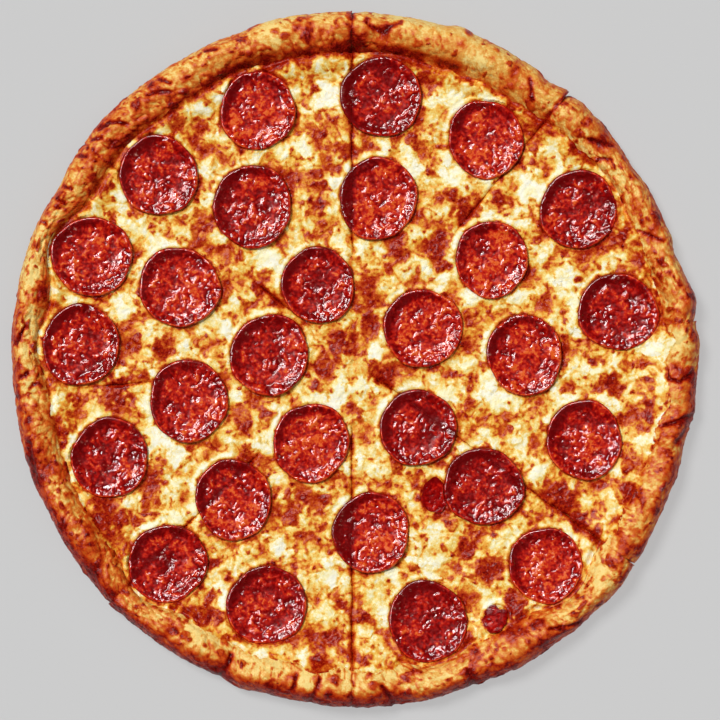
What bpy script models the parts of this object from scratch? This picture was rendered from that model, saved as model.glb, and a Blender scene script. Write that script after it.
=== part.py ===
"""A whole pepperoni pizza, baked and cut into eight slices.

The crust is one turned shape: a flat base inside a thick rim. The cheese fills it up to the rim.
Both are parted into slices by the same eight knife cuts, then pushed into the uneven shape
of hand-stretched dough. Each pepperoni is a small cupped disc bedded into what it lies on.
"""

import math

import bmesh
import bpy
from mathutils import Matrix, Vector, noise

MM = 0.001

# Gaps between touching pieces, and the width that the knife leaves open
GAP = 0.3 * MM
KERF = 0.8 * MM

# Section of the crust, before it is pushed out of round
BASE_THICKNESS = 6.0 * MM
RIM_HEIGHT = 20.0 * MM
RIM_FOOT = 153.5 * MM
RIM_REACH = 178.5 * MM
FLAT_RADIUS = 120.0 * MM
TURN_STEPS = 96

# Cheese: a lumpy sheet, modelled on a triangular net, that rises where it meets the rim
CHEESE_THICKNESS = 3.2 * MM
CHEESE_LUMP = 1.1 * MM
CHEESE_LIP = 2.4 * MM
CHEESE_NET = 10.0 * MM

# Pepperoni
PEPPERONI_THICKNESS = 1.9 * MM
PEPPERONI_CUP = 2.2 * MM
PEPPERONI_SINK = 1.1 * MM
PEPPERONI_STEPS = 14
SEAT_HEIGHT = 14.0 * MM

# The eight cuts meet a little off the middle. Each slice runs from its own angle to the next one,
# in degrees counterclockwise from +X, and reaches its own distance out.
CUTS_MEET = Vector((-1.8 * MM, -1.3 * MM, 0.0))
SLICE_STARTS = (6.5, 51.0, 90.0, 141.0, 186.0, 225.0, 270.0, 324.0)
SLICE_REACHES = (174.9, 178.0, 179.4, 178.7, 178.4, 179.5, 179.9, 176.6)

# Creases and split blisters across the rim: angle in degrees, depth in mm
RIM_CREASES = (
    (23, 2.0), (41, 2.4), (61, 1.2), (85, 1.6), (98, 1.2), (126, 1.8), (137, 1.6), (152, 1.4),
    (177, 1.8), (199, 1.8), (219, 2.0), (236, 1.8), (247, 2.4), (258, 1.4), (277, 1.8), (291, 2.0),
    (343, 1.2), (350.5, 2.4), (357.5, 2.2),
)
# Places where the dough puffed up or bulged: angle in degrees, extra height in mm
RIM_PUFFS = (
    (10, 2.0), (32, -1.5), (72, 1.8), (108, 1.6), (131, -1.2), (168, 0.8), (210, 1.4), (262, 1.8),
    (318, 1.0),
)
CREASE_HALF_WIDTH = 3.0
PUFF_HALF_WIDTH = 9.0
CUT_ROUNDING = 2.2 * MM
CUT_ROUNDING_WIDTH = 1.6
# A rim that a pepperoni has pressed narrow is also lower, by this share of what it lost in width
PRESSED_RIM_DROP = 0.3

# Each pepperoni: its number, its middle across and up, and its width and length, all in mm
PEPPERONI = (
    (1, -50.8, 127.7, 38.5, 41.6), (2, 13.2, 134.9, 41.6, 42.2), (3, 67.4, 112.9, 39.0, 41.0),
    (4, -101.9, 94.2, 41.6, 41.0), (5, -53.4, 78.2, 41.6, 42.6), (6, 11.6, 82.3, 40.6, 43.0),
    (7, 115.3, 76.6, 39.5, 41.6), (8, -136.5, 52.4, 41.6, 42.0), (9, -91.1, 36.4, 42.0, 41.6),
    (10, -19.4, 37.4, 38.5, 39.5), (11, 70.4, 50.8, 38.5, 39.5), (12, -142.2, 6.5, 40.4, 42.0),
    (13, -44.6, 1.3, 40.4, 42.8), (14, 34.8, 15.2, 40.4, 41.4), (15, 136.0, 23.5, 41.6, 40.2),
    (16, 87.5, 1.3, 39.2, 42.2), (17, -86.4, -22.4, 41.4, 42.4), (18, -127.2, -51.9, 40.6, 41.4),
    (19, -23.0, -44.1, 39.4, 41.4), (20, 32.3, -36.4, 39.4, 40.4), (21, 118.4, -42.6, 38.4, 42.4),
    (22, -63.2, -73.5, 39.4, 42.4), (23, 66.3, -66.8, 42.8, 39.2), (24, 8.0, -90.6, 40.6, 41.4),
    (25, -97.3, -106.6, 41.4, 40.4), (26, -46.0, -128.2, 41.4, 41.2), (27, 98.3, -107.6, 37.4, 40.4),
    (28, 37.4, -136.5, 40.4, 43.0),
)
# The pepperoni that a cut runs through, with the angle of that cut
CUT_THROUGH = {2: 90.0, 6: 90.0, 20: 324.0, 22: 225.0, 23: 324.0, 24: 270.0, 25: 225.0}
# Broken bits of pepperoni lying on the cheese: middle across and up, width and length, in mm.
# The first one lies against a whole pepperoni, which leaves only a crescent of it.
SCRAPS = ((41.0, -71.5, 14.4, 19.0), (72.8, -135.7, 13.6, 17.4))
SCRAP_NEIGHBOURS = ("seat_23", None)
SCRAP_THICKNESS = 1.7 * MM
SCRAP_CUP = 0.3 * MM


def clear_scene():
    """Start from an empty file."""
    for item in list(bpy.data.objects):
        bpy.data.objects.remove(item, do_unlink=True)


def new_collection(name):
    """Add a collection to the scene."""
    collection = bpy.data.collections.new(name)
    bpy.context.scene.collection.children.link(collection)
    return collection


def new_material(name, colour, roughness):
    """Make a plain food finish."""
    material = bpy.data.materials.new(name)
    material.use_nodes = True
    shader = material.node_tree.nodes["Principled BSDF"]
    shader.inputs["Base Color"].default_value = (*colour, 1.0)
    shader.inputs["Roughness"].default_value = roughness
    shader.inputs["Metallic"].default_value = 0.0
    return material


def add_object(name, mesh, collection, material=None):
    """Put a mesh into the scene as a named object."""
    item = bpy.data.objects.new(name, mesh)
    collection.objects.link(item)
    if material is not None:
        mesh.materials.clear()
        mesh.materials.append(material)
    return item


def turned_mesh(name, profile, steps):
    """Turn a half section about Z, listed from its top round its outer side, and cap both ends."""
    mesh = bpy.data.meshes.new(name)
    points = [(radius, 0.0, height) for radius, height in profile]
    mesh.from_pydata(points, [(i, i + 1) for i in range(len(points) - 1)], [])
    blank = bpy.data.objects.new(name, mesh)
    bpy.context.scene.collection.objects.link(blank)
    screw = blank.modifiers.new("Turn", "SCREW")
    screw.steps = steps
    screw.render_steps = steps
    screw.use_merge_vertices = True
    screw.merge_threshold = 0.00001
    evaluated = blank.evaluated_get(bpy.context.evaluated_depsgraph_get())
    turned = bpy.data.meshes.new_from_object(evaluated)
    bpy.data.objects.remove(blank, do_unlink=True)
    bm = bmesh.new()
    bm.from_mesh(turned)
    close_holes(bm)
    bm.to_mesh(turned)
    bm.free()
    return turned


def close_holes(bm):
    """Fill each open end with one flat face, and turn every face outwards."""
    open_edges = [edge for edge in bm.edges if edge.is_boundary]
    bmesh.ops.holes_fill(bm, edges=open_edges, sides=0)
    bmesh.ops.recalc_face_normals(bm, faces=bm.faces[:])


def smooth_step(low, high, value):
    """Rise from 0 at low to 1 at high without a kink."""
    t = min(1.0, max(0.0, (value - low) / (high - low)))
    return t * t * (3.0 - 2.0 * t)


def angle_between(a, b):
    """Smallest angle between two bearings, in degrees."""
    return abs((a - b + 180.0) % 360.0 - 180.0)


def hump(distance, half_width):
    """A smooth bump that is 1 in its middle."""
    return math.exp(-((distance / half_width) ** 2))


def crust_slope():
    """The inner side of the rim, from the flat base up to where the cheese ends."""
    top = BASE_THICKNESS
    return [
        (RIM_FOOT - 13.0 * MM, top),
        (RIM_FOOT - 5.5 * MM, top + 0.5 * MM),
        (RIM_FOOT - 1.0 * MM, top + 1.9 * MM),
        (RIM_FOOT + 2.5 * MM, top + 4.6 * MM),
        (RIM_FOOT + 5.0 * MM, top + 7.8 * MM),
    ]


def crust_profile():
    """Half section of the whole crust."""
    rim_top = RIM_HEIGHT
    rim = [
        (RIM_FOOT + 8.5 * MM, rim_top - 2.7 * MM),
        (RIM_FOOT + 12.5 * MM, rim_top - 0.5 * MM),
        (RIM_REACH - 8.0 * MM, rim_top),
        (RIM_REACH - 4.2 * MM, rim_top - 2.2 * MM),
        (RIM_REACH - 1.2 * MM, rim_top - 6.6 * MM),
        (RIM_REACH, rim_top - 11.5 * MM),
        (RIM_REACH - 1.4 * MM, rim_top - 16.0 * MM),
        (RIM_REACH - 6.0 * MM, 0.0),
    ]
    return crust_slope() + rim


def hollow_profile():
    """Half section of the hollow inside the rim, one gap clear of the crust, and open above it."""
    slope = crust_slope() + [(RIM_FOOT + 8.5 * MM, RIM_HEIGHT - 2.7 * MM)]
    clear = 1.3 * GAP
    wall = []
    for i, (radius, height) in enumerate(slope):
        before = slope[max(i - 1, 0)]
        after = slope[min(i + 1, len(slope) - 1)]
        run, rise = after[0] - before[0], after[1] - before[1]
        length = math.hypot(run, rise)
        wall.append((radius - rise / length * clear, height + run / length * clear))
    wall.append((wall[-1][0], RIM_HEIGHT + 10.0 * MM))
    return wall[::-1]


def rim_foot(bearing):
    """Where the rim starts: further out where a pepperoni leans on it."""
    foot = RIM_FOOT
    for _, x, y, width, length in PEPPERONI:
        out = math.hypot(x, y) * MM + (width + length) / 4.0 * MM
        push = max(0.0, out - RIM_FOOT)
        foot += push * hump(angle_between(bearing, math.degrees(math.atan2(y, x))), 8.0)
    return foot


def rim_reach(bearing, reach):
    """The outline: slightly wavy, flattened where the dough met the pan, drawn in at each cut."""
    turn = math.radians(bearing)
    wave = noise.noise(Vector((4.0 * math.cos(turn), 4.0 * math.sin(turn), 3.7)))
    out = reach * MM + 1.1 * MM * wave
    out += 2.0 * MM * hump(angle_between(bearing, 10.0), 5.0)
    for start in SLICE_STARTS:
        out -= CUT_ROUNDING * 0.6 * hump(angle_between(bearing, start), CUT_ROUNDING_WIDTH)
    return out


def warp_radius(radius, bearing, reach):
    """Push a turned point in or out so that the rim follows its own foot and outline."""
    if radius <= FLAT_RADIUS:
        return radius
    foot = rim_foot(bearing)
    if radius <= RIM_FOOT:
        return FLAT_RADIUS + (radius - FLAT_RADIUS) * (foot - FLAT_RADIUS) / (RIM_FOOT - FLAT_RADIUS)
    out = rim_reach(bearing, reach)
    return foot + (radius - RIM_FOOT) * (out - foot) / (RIM_REACH - RIM_FOOT)


def rim_relief(radius, height, bearing):
    """How far the rim stands above or below its turned section."""
    on_rim = smooth_step(RIM_FOOT + 4.0 * MM, RIM_FOOT + 12.0 * MM, radius)
    on_top = smooth_step(2.0 * MM, RIM_HEIGHT * 0.7, height)
    turn = math.radians(bearing)
    spot = Vector((radius * math.cos(turn), radius * math.sin(turn), height))
    lift = 1.2 * MM * noise.noise(spot / (26.0 * MM)) + 0.9 * MM * noise.noise(spot / (11.0 * MM))
    lift -= PRESSED_RIM_DROP * (rim_foot(bearing) - RIM_FOOT)
    for at, depth in RIM_CREASES:
        lift -= depth * MM * hump(angle_between(bearing, at), CREASE_HALF_WIDTH)
    for at, rise in RIM_PUFFS:
        lift += rise * MM * hump(angle_between(bearing, at), PUFF_HALF_WIDTH)
    for start in SLICE_STARTS:
        lift -= CUT_ROUNDING * hump(angle_between(bearing, start), CUT_ROUNDING_WIDTH)
    return lift * on_rim * on_top


def cheese_level(x, y, lumpiness=1.0):
    """Height of the cheese: soft lumps all over, and a lip that climbs the rim unevenly."""
    spot = Vector((x, y, 0.05))
    lumps = noise.noise(spot / (24.0 * MM)) + 0.7 * noise.noise(spot / (10.0 * MM))
    past_foot = math.hypot(x, y) - rim_foot(math.degrees(math.atan2(y, x)))
    lip = CHEESE_LIP + 1.0 * MM * noise.noise(spot / (17.0 * MM))
    climb = lip * smooth_step(-8.0 * MM, 2.0 * MM, past_foot)
    return BASE_THICKNESS + CHEESE_THICKNESS + CHEESE_LUMP * lumps * lumpiness + climb


def cheese_net():
    """A closed block whose top is the surface of the cheese."""
    rows = math.ceil(2.0 * (RIM_REACH + CHEESE_NET) / CHEESE_NET)
    bm = bmesh.new()
    bmesh.ops.create_grid(bm, x_segments=rows, y_segments=rows, size=rows * CHEESE_NET / 2.0)
    for vert in bm.verts:
        row = round(vert.co.y / CHEESE_NET + rows / 2.0)
        if row % 2:
            vert.co.x += CHEESE_NET / 2.0
        vert.co.z = cheese_level(vert.co.x, vert.co.y)
    bmesh.ops.triangulate(bm, faces=bm.faces[:], quad_method="SHORT_EDGE")
    walls = bmesh.ops.extrude_face_region(bm, geom=bm.faces[:])
    for item in walls["geom"]:
        if isinstance(item, bmesh.types.BMVert):
            item.co.z = -5.0 * MM
    bmesh.ops.recalc_face_normals(bm, faces=bm.faces[:])
    mesh = bpy.data.meshes.new("cheese_surface")
    bm.to_mesh(mesh)
    bm.free()
    return mesh


def cut_normal(angle):
    """Unit vector square to a cut, on its counterclockwise side."""
    turn = math.radians(angle)
    return Vector((-math.sin(turn), math.cos(turn), 0.0))


def keep_side(bm, angle, side):
    """Cut a closed mesh along one knife cut, keep one side and close it again."""
    normal = cut_normal(angle) * side
    place = CUTS_MEET + normal * (KERF / 2.0)
    everything = bm.verts[:] + bm.edges[:] + bm.faces[:]
    bmesh.ops.bisect_plane(bm, geom=everything, plane_co=place, plane_no=normal, clear_inner=True)
    close_holes(bm)


def slice_mesh(name, turned, index):
    """Cut one slice out of a turned shape and give it its own uneven form."""
    start = SLICE_STARTS[index]
    end = SLICE_STARTS[(index + 1) % len(SLICE_STARTS)]
    bm = bmesh.new()
    bm.from_mesh(turned)
    keep_side(bm, start, 1.0)
    keep_side(bm, end, -1.0)
    for vert in bm.verts:
        x, y, z = vert.co
        radius = math.hypot(x, y)
        bearing = math.degrees(math.atan2(y, x))
        if radius > FLAT_RADIUS:
            new_radius = warp_radius(radius, bearing, SLICE_REACHES[index])
            vert.co.x = x * new_radius / radius
            vert.co.y = y * new_radius / radius
        vert.co.z = z + rim_relief(radius, z, bearing)
    bmesh.ops.triangulate(bm, faces=bm.faces[:])
    mesh = bpy.data.meshes.new(name)
    bm.to_mesh(mesh)
    bm.free()
    return mesh


def bed_height(x, y):
    """Level of the cheese, or of the rim beyond it, under a topping."""
    past_lip = math.hypot(x, y) - rim_foot(math.degrees(math.atan2(y, x))) - 3.0 * MM
    return cheese_level(x, y, lumpiness=0.6) + 1.1 * max(0.0, past_lip)


def bed_placement(x, y, reach):
    """Place a flat topping on the level of its bed, tilted as its bed is."""
    east, west = bed_height(x + reach, y), bed_height(x - reach, y)
    north, south = bed_height(x, y + reach), bed_height(x, y - reach)
    normal = Vector(((west - east) / (2.0 * reach), (south - north) / (2.0 * reach), 1.0)).normalized()
    level = (east + west + north + south + 2.0 * bed_height(x, y)) / 6.0
    tilt = Vector((0.0, 0.0, 1.0)).rotation_difference(normal).to_matrix().to_4x4()
    return Matrix.Translation((x, y, level - PEPPERONI_SINK)) @ tilt


def curled_profile(thick, cup):
    """Half section of a thin slice whose edge has curled up, with its radius as 1."""
    return [(0.76, thick), (0.95, thick + cup), (1.0, thick + cup * 0.62), (0.74, 0.0)]


def seat_profile(thick, cup):
    """Half section of the room that such a slice takes in its bed, up to above its edge."""
    return [(1.035, SEAT_HEIGHT), (1.035, thick + cup * 0.62), (0.76, -GAP * 1.2)]


def shape_disc(mesh, width, length, seed):
    """Scale a turned disc to its size, a little out of round."""
    for vert in mesh.vertices:
        bearing = math.atan2(vert.co.y, vert.co.x)
        swell = 1.0 + 0.022 * math.sin(2.0 * bearing + seed) + 0.016 * math.sin(3.0 * bearing + 2.3 * seed)
        vert.co.x *= width / 2.0 * MM * swell
        vert.co.y *= length / 2.0 * MM * swell


def make_disc(name, profile, x, y, width, length, seed):
    """Make one pepperoni, or the room for it, at its place."""
    mesh = turned_mesh(name, profile, PEPPERONI_STEPS)
    shape_disc(mesh, width, length, seed)
    bm = bmesh.new()
    bm.from_mesh(mesh)
    bmesh.ops.triangulate(bm, faces=bm.faces[:])
    bm.to_mesh(mesh)
    bm.free()
    reach = max(0.7 * (width + length) / 4.0, 12.0) * MM
    mesh.transform(bed_placement(x * MM, y * MM, reach))
    return mesh


def split_disc(name, mesh, angle, side):
    """Keep what lies on one side of a cut."""
    bm = bmesh.new()
    bm.from_mesh(mesh)
    keep_side(bm, angle, side)
    half = bpy.data.meshes.new(name)
    bm.to_mesh(half)
    bm.free()
    return half


def add_pepperoni(collection, seats, material):
    """Add every pepperoni, cut ones as two pieces, and the cutters that make their seats."""
    profile = curled_profile(PEPPERONI_THICKNESS, PEPPERONI_CUP)
    room = seat_profile(PEPPERONI_THICKNESS, PEPPERONI_CUP)
    for number, x, y, width, length in PEPPERONI:
        name = f"pepperoni_{number:02d}"
        mesh = make_disc(name, profile, x, y, width, length, number)
        if number in CUT_THROUGH:
            for suffix, side in (("left", 1.0), ("right", -1.0)):
                part = split_disc(f"{name}_{suffix}", mesh, CUT_THROUGH[number], side)
                add_object(f"{name}_{suffix}", part, collection, material)
        else:
            add_object(name, mesh, collection, material)
        seat = f"seat_{number:02d}"
        add_cutter(seat, make_disc(seat, room, x, y, width, length, number), seats)


def add_scraps(collection, seats, material):
    """Add the broken bits of pepperoni."""
    profile = curled_profile(SCRAP_THICKNESS, SCRAP_CUP)
    room = seat_profile(SCRAP_THICKNESS, SCRAP_CUP)
    for i, (x, y, width, length) in enumerate(SCRAPS, start=1):
        name = f"pepperoni_scrap_{i}"
        seed = len(PEPPERONI) + i
        item = add_object(name, make_disc(name, profile, x, y, width, length, seed), collection, material)
        if SCRAP_NEIGHBOURS[i - 1]:
            add_boolean(item, "Neighbour", "DIFFERENCE", bpy.data.objects[SCRAP_NEIGHBOURS[i - 1]])
        seat = f"seat_scrap_{i}"
        add_cutter(seat, make_disc(seat, room, x, y, width + 0.6, length + 0.6, seed), seats)


def add_cutter(name, mesh, cutters):
    """Add a shape that only cuts others."""
    item = add_object(name, mesh, cutters)
    item.hide_render = True
    item.display_type = "WIRE"
    return item


def add_boolean(item, name, operation, cutter):
    """Cut an object by another one, or by all in a collection."""
    modifier = item.modifiers.new(name, "BOOLEAN")
    modifier.operation = operation
    if isinstance(cutter, bpy.types.Collection):
        modifier.operand_type = "COLLECTION"
        modifier.collection = cutter
    else:
        modifier.object = cutter


def add_crust(collection, seats, material):
    """Add the eight slices of crust."""
    turned = turned_mesh("crust", crust_profile(), TURN_STEPS)
    for index in range(len(SLICE_STARTS)):
        name = f"crust_slice_{index + 1}"
        item = add_object(name, slice_mesh(name, turned, index), collection, material)
        add_boolean(item, "Seats", "DIFFERENCE", seats)


def add_cheese(collection, seats, surface, material):
    """Add the cheese on each slice: what fills the hollow of the crust up to its own surface."""
    turned = turned_mesh("hollow", hollow_profile(), TURN_STEPS)
    for index in range(len(SLICE_STARTS)):
        name = f"cheese_slice_{index + 1}"
        item = add_object(name, slice_mesh(name, turned, index), collection, material)
        add_boolean(item, "Surface", "INTERSECT", surface)
        add_boolean(item, "Seats", "DIFFERENCE", seats)


def centre_on_origin(collection):
    """Move everything so that the middle of its outline is over the origin."""
    across = [vert.co.x for item in collection.objects for vert in item.data.vertices]
    along = [vert.co.y for item in collection.objects for vert in item.data.vertices]
    shift = Vector((-(min(across) + max(across)) / 2.0, -(min(along) + max(along)) / 2.0, 0.0))
    for item in bpy.data.objects:
        item.location += shift


def build():
    """Make the whole pizza."""
    clear_scene()
    pizza = new_collection("pepperoni_pizza")
    seats = new_collection("seats")
    cutters = new_collection("cutters")
    crust = new_material("crust", (0.62, 0.32, 0.09), 0.75)
    cheese = new_material("cheese", (0.86, 0.62, 0.24), 0.45)
    pepperoni = new_material("pepperoni", (0.42, 0.03, 0.02), 0.35)
    add_pepperoni(pizza, seats, pepperoni)
    add_scraps(pizza, seats, pepperoni)
    add_crust(pizza, seats, crust)
    surface = add_cutter("cheese_surface", cheese_net(), cutters)
    add_cheese(pizza, seats, surface, cheese)
    centre_on_origin(pizza)


build()
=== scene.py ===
"""A baked pepperoni pizza, cut into eight slices that still lie together.

Three kinds of piece are made: the browned crust of each slice, the melted cheese on it, and the
pepperoni, curled by the heat and bedded into the cheese. Lengths inside the functions are in
millimetres from the middle of the pizza, bearings are in degrees counterclockwise from +X.
"""

import math

import bpy
import numpy as np
from bpy.props import FloatProperty, FloatVectorProperty, PointerProperty
from bpy.types import Operator, Panel, PropertyGroup
from mathutils import Matrix, Vector, noise
from mathutils.geometry import delaunay_2d_cdt


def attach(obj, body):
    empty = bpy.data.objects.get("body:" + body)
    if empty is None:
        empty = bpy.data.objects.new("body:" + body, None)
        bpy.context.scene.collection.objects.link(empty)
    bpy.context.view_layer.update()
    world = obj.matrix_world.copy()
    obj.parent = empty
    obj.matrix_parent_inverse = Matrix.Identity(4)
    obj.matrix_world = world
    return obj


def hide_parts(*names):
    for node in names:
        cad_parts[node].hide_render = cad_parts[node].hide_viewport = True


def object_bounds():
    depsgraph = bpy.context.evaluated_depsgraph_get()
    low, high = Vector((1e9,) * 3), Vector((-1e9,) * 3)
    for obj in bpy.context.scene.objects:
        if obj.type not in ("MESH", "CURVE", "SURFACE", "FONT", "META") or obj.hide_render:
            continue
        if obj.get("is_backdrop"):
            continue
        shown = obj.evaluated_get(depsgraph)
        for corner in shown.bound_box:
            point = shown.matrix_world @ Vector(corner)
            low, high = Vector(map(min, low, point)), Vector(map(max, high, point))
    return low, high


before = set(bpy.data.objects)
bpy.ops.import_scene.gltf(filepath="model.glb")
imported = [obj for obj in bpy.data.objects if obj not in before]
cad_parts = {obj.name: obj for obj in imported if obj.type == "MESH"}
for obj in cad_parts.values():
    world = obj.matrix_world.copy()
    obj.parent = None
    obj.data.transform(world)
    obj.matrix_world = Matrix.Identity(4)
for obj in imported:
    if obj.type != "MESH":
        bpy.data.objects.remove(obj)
CAD_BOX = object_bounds()

bl_info = {
    "name": "Pepperoni Pizza",
    "version": (1, 0, 0),
    "blender": (4, 5, 0),
    "location": "View3D > Sidebar > Pizza",
    "description": "Makes the crust, cheese and pepperoni of a baked pizza around its plain model",
    "category": "Add Mesh",
}

MM = 0.001
# The ground lies this much below the pizza, and reaches this far to each side, both in metres
FLOOR_GAP = 0.0002
FLOOR_HALF = 3.0

# Where the middle of the pizza stands in the frame
MIDDLE = (0.9939, 0.2616)

# Section of the crust, and the way once round the middle of the rim
BASE_THICKNESS = 6.0
RIM_HEIGHT = 20.0
RIM_FOOT = 153.5
RIM_REACH = 178.5
FLAT_RADIUS = 120.0
RIM_RIDGE = 168.0
RIM_MIDDLE = 165.0
RIM_ARC = 2.0 * math.pi * RIM_MIDDLE

# Cheese
CHEESE_THICKNESS = 3.2
CHEESE_LUMP = 1.1
CHEESE_LIP = 2.4
# Cheese that ran down into the corner at the foot of the rim
CORNER_FILL = 1.6

# Pepperoni
PEPPERONI_THICKNESS = 1.9
PEPPERONI_CUP = 2.2
PEPPERONI_SINK = 1.1
SCRAP_THICKNESS = 1.7
SCRAP_CUP = 0.3
# Shares of the radius at which the curled edge leaves the cheese and stands highest, and the share
# of the cup by which the underside rises
CURL_START = 0.74
CREST = 0.965
CURL_RISE = 0.62

# The eight cuts meet a little off the middle. Each slice runs from its own angle to the next one
# and reaches its own distance out.
CUTS_MEET = np.array((-1.8, -1.3))
SLICE_STARTS = (6.5, 51.0, 90.0, 141.0, 186.0, 225.0, 270.0, 324.0)
SLICE_REACHES = (174.9, 178.0, 179.4, 178.7, 178.4, 179.5, 179.9, 176.6)

# Creases and split blisters across the rim, angle and depth, and places where it puffed up
RIM_CREASES = (
    (23, 2.0), (41, 2.4), (61, 1.2), (85, 1.6), (98, 1.2), (126, 1.8), (137, 1.6), (152, 1.4), (177, 1.8),
    (199, 1.8), (219, 2.0), (236, 1.8), (247, 2.4), (258, 1.4), (277, 1.8), (291, 2.0), (343, 1.2),
    (350.5, 2.4), (357.5, 2.2),
)
RIM_PUFFS = (
    (10, 2.0), (32, -1.5), (72, 1.8), (108, 1.6), (131, -1.2), (168, 0.8), (210, 1.4), (262, 1.8),
    (318, 1.0),
)
# Swells and dents of the outline: bearing, half width in degrees, how far out
OUTLINE_SWELLS = (
    (10.0, 5.0, 2.0), (283.0, 32.0, 1.3), (2.0, 9.0, 1.4), (220.0, 5.0, 1.2), (54.5, 3.0, -1.5),
    (1.6, 2.0, 0.5), (5.2, 1.3, -1.5), (9.8, 2.4, 1.7), (18.0, 2.0, -1.1), (21.0, 1.4, 0.9),
    (35.0, 3.0, -0.9), (43.5, 2.4, 1.1), (48.5, 2.2, 1.4), (55.0, 2.4, -1.7), (61.0, 3.0, -0.7),
    (72.0, 2.0, 2.0), (88.5, 2.6, 1.2), (109.5, 3.0, -1.2), (150.5, 2.4, -1.0), (171.0, 2.4, -0.8),
    (182.0, 2.4, -0.8), (196.0, 2.6, 0.9), (201.0, 2.0, 0.9), (208.0, 3.0, -0.8), (224.5, 2.2, 1.6),
    (250.5, 2.6, 1.9), (267.0, 4.5, 0.8), (282.0, 2.4, 0.7), (298.0, 4.0, 1.1), (309.0, 1.8, 1.1),
    (317.0, 4.0, 0.7), (330.0, 2.4, 1.0), (345.0, 1.8, -0.9), (351.0, 1.6, 1.5),
)
# Half widths of the creases, puffs and cut edges, in degrees
CREASE_HALF_WIDTH = 3.0
PUFF_HALF_WIDTH = 9.0
CUT_ROUNDING_WIDTH = 1.6
# How far the rim is rounded down beside a cut, and how much lower it is for each millimetre that a
# pepperoni pushes its foot out
CUT_ROUNDING = 2.2
PRESSED_RIM_DROP = 0.3
# Above this height the bumps of the rim are held back
CALM_HEIGHT = 21.0

# Each pepperoni: its number, its middle across and up, and its width and height as seen from above
PEPPERONI = (
    (1, -50.8, 127.7, 38.5, 41.6), (2, 13.2, 134.9, 41.6, 42.2), (3, 67.4, 112.9, 39.0, 41.0),
    (4, -101.9, 94.2, 41.6, 41.0), (5, -53.4, 78.2, 41.6, 42.6), (6, 11.6, 82.3, 40.6, 43.0),
    (7, 115.3, 76.6, 39.5, 41.6), (8, -136.5, 52.4, 41.6, 42.0), (9, -91.1, 36.4, 42.0, 41.6),
    (10, -19.4, 37.4, 38.5, 39.5), (11, 70.4, 50.8, 38.5, 39.5), (12, -142.2, 6.5, 40.4, 42.0),
    (13, -44.6, 1.3, 40.4, 42.8), (14, 34.8, 15.2, 40.4, 41.4), (15, 136.0, 23.5, 41.6, 40.2),
    (16, 87.5, 1.3, 39.2, 42.2), (17, -86.4, -22.4, 41.4, 42.4), (18, -127.2, -51.9, 40.6, 41.4),
    (19, -23.0, -44.1, 39.4, 41.4), (20, 32.3, -36.4, 39.4, 40.4), (21, 118.4, -42.6, 38.4, 42.4),
    (22, -63.2, -73.5, 39.4, 42.4), (23, 66.3, -66.8, 42.8, 39.2), (24, 8.0, -90.6, 40.6, 41.4),
    (25, -97.3, -106.6, 41.4, 40.4), (26, -46.0, -128.2, 41.4, 41.2), (27, 98.3, -107.6, 37.4, 40.4),
    (28, 37.4, -136.5, 40.4, 43.0),
)
# The pepperoni that a cut runs through, with the angle of that cut
CUT_THROUGH = {2: 90.0, 6: 90.0, 20: 324.0, 22: 225.0, 23: 324.0, 24: 270.0, 25: 225.0}
# Halves that the knife pressed down, drawn darker than the rest with painted shade
SHADED_HALVES = ("02_left", "06_left", "24_right")
# Broken bits of pepperoni, middle and size, and the whole one that the first of them lies against
SCRAPS = ((41.0, -71.5, 14.4, 19.0), (72.8, -135.7, 13.6, 17.4))
SCRAP_NEIGHBOUR = 23

# Where each knife cut stayed open, from and to, measured along it. Elsewhere it melted shut.
OPEN_CUTS = {
    6.5: ((164, 182),),
    51.0: ((88, 182),),
    90.0: ((56, 182),),
    141.0: ((42, 62), (156, 182)),
    186.0: ((107, 131), (166, 182)),
    225.0: ((70, 182),),
    270.0: ((36, 182),),
    324.0: ((14, 182),),
}
# Half the gap of a cut where it stayed open, where it melted shut, and through a pepperoni
OPEN_HALF_WIDTH = 0.1
SHUT_HALF_WIDTH = 0.015
MEAT_CUT_HALF_WIDTH = 0.04
# How far the crust of a slice stays behind the middle of a cut
CRUST_INSET = 0.004

# How dark each cut shows where it crosses the rim
CUT_SHADE = {
    6.5: 0.3, 51.0: 1.3, 90.0: 0.9, 141.0: 0.6, 186.0: 0.35, 225.0: 0.45, 270.0: 0.7, 324.0: 0.3,
}

# How much darker the rim is drawn along its inner and its outer side, by bearing
RIM_DARKENING = (
    (0, -0.25, -0.7), (45, -0.65, -0.75), (90, -0.55, -1.55), (110, -0.35, -1.15), (135, -0.2, -0.8),
    (160, -0.5, -1.2), (180, -0.7, -0.6), (225, -0.2, 0.35), (270, -1.05, 0.15), (290, -0.55, 0.1),
    (305, -0.35, -0.15), (320, -0.55, -0.8), (340, -0.3, -0.4), (360, -0.25, -0.7),
)

# The stretch at the foot of the rim where sauce dried and painted shade under the rim falls: its middle
# bearing and half its width
SAUCE_AND_SHADE_FOOT = 97.0
SAUCE_AND_SHADE_HALF_TURN = 38.0

# How far out the cheese creeps up the rim: bearing and radius
CHEESE_EDGE = (
    (0, 161.5), (4, 164.5), (8, 161.0), (12, 158.5), (30, 159.5), (49, 158.5), (54, 156.3), (70, 156.0),
    (87, 156.3), (94, 158.5), (115, 160.0), (140, 160.5), (160, 161.5), (185, 160.0), (215, 160.5),
    (245, 161.0), (252, 163.5), (257, 160.5), (262, 164.0), (267, 161.0), (273, 163.5), (279, 161.0),
    (284, 164.0), (290, 160.5), (300, 161.0), (330, 160.5), (348, 160.5), (352, 164.5), (356, 161.5),
    (360, 161.5),
)

# The photograph: where the middle of the pizza is, in pixels, the real size of a pixel in
# millimetres, and how many pixels wide and high the photograph is
PHOTO_MIDDLE = (355.5, 357.5)
PHOTO_MM = 0.516
PHOTO_PIXELS = 720

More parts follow.
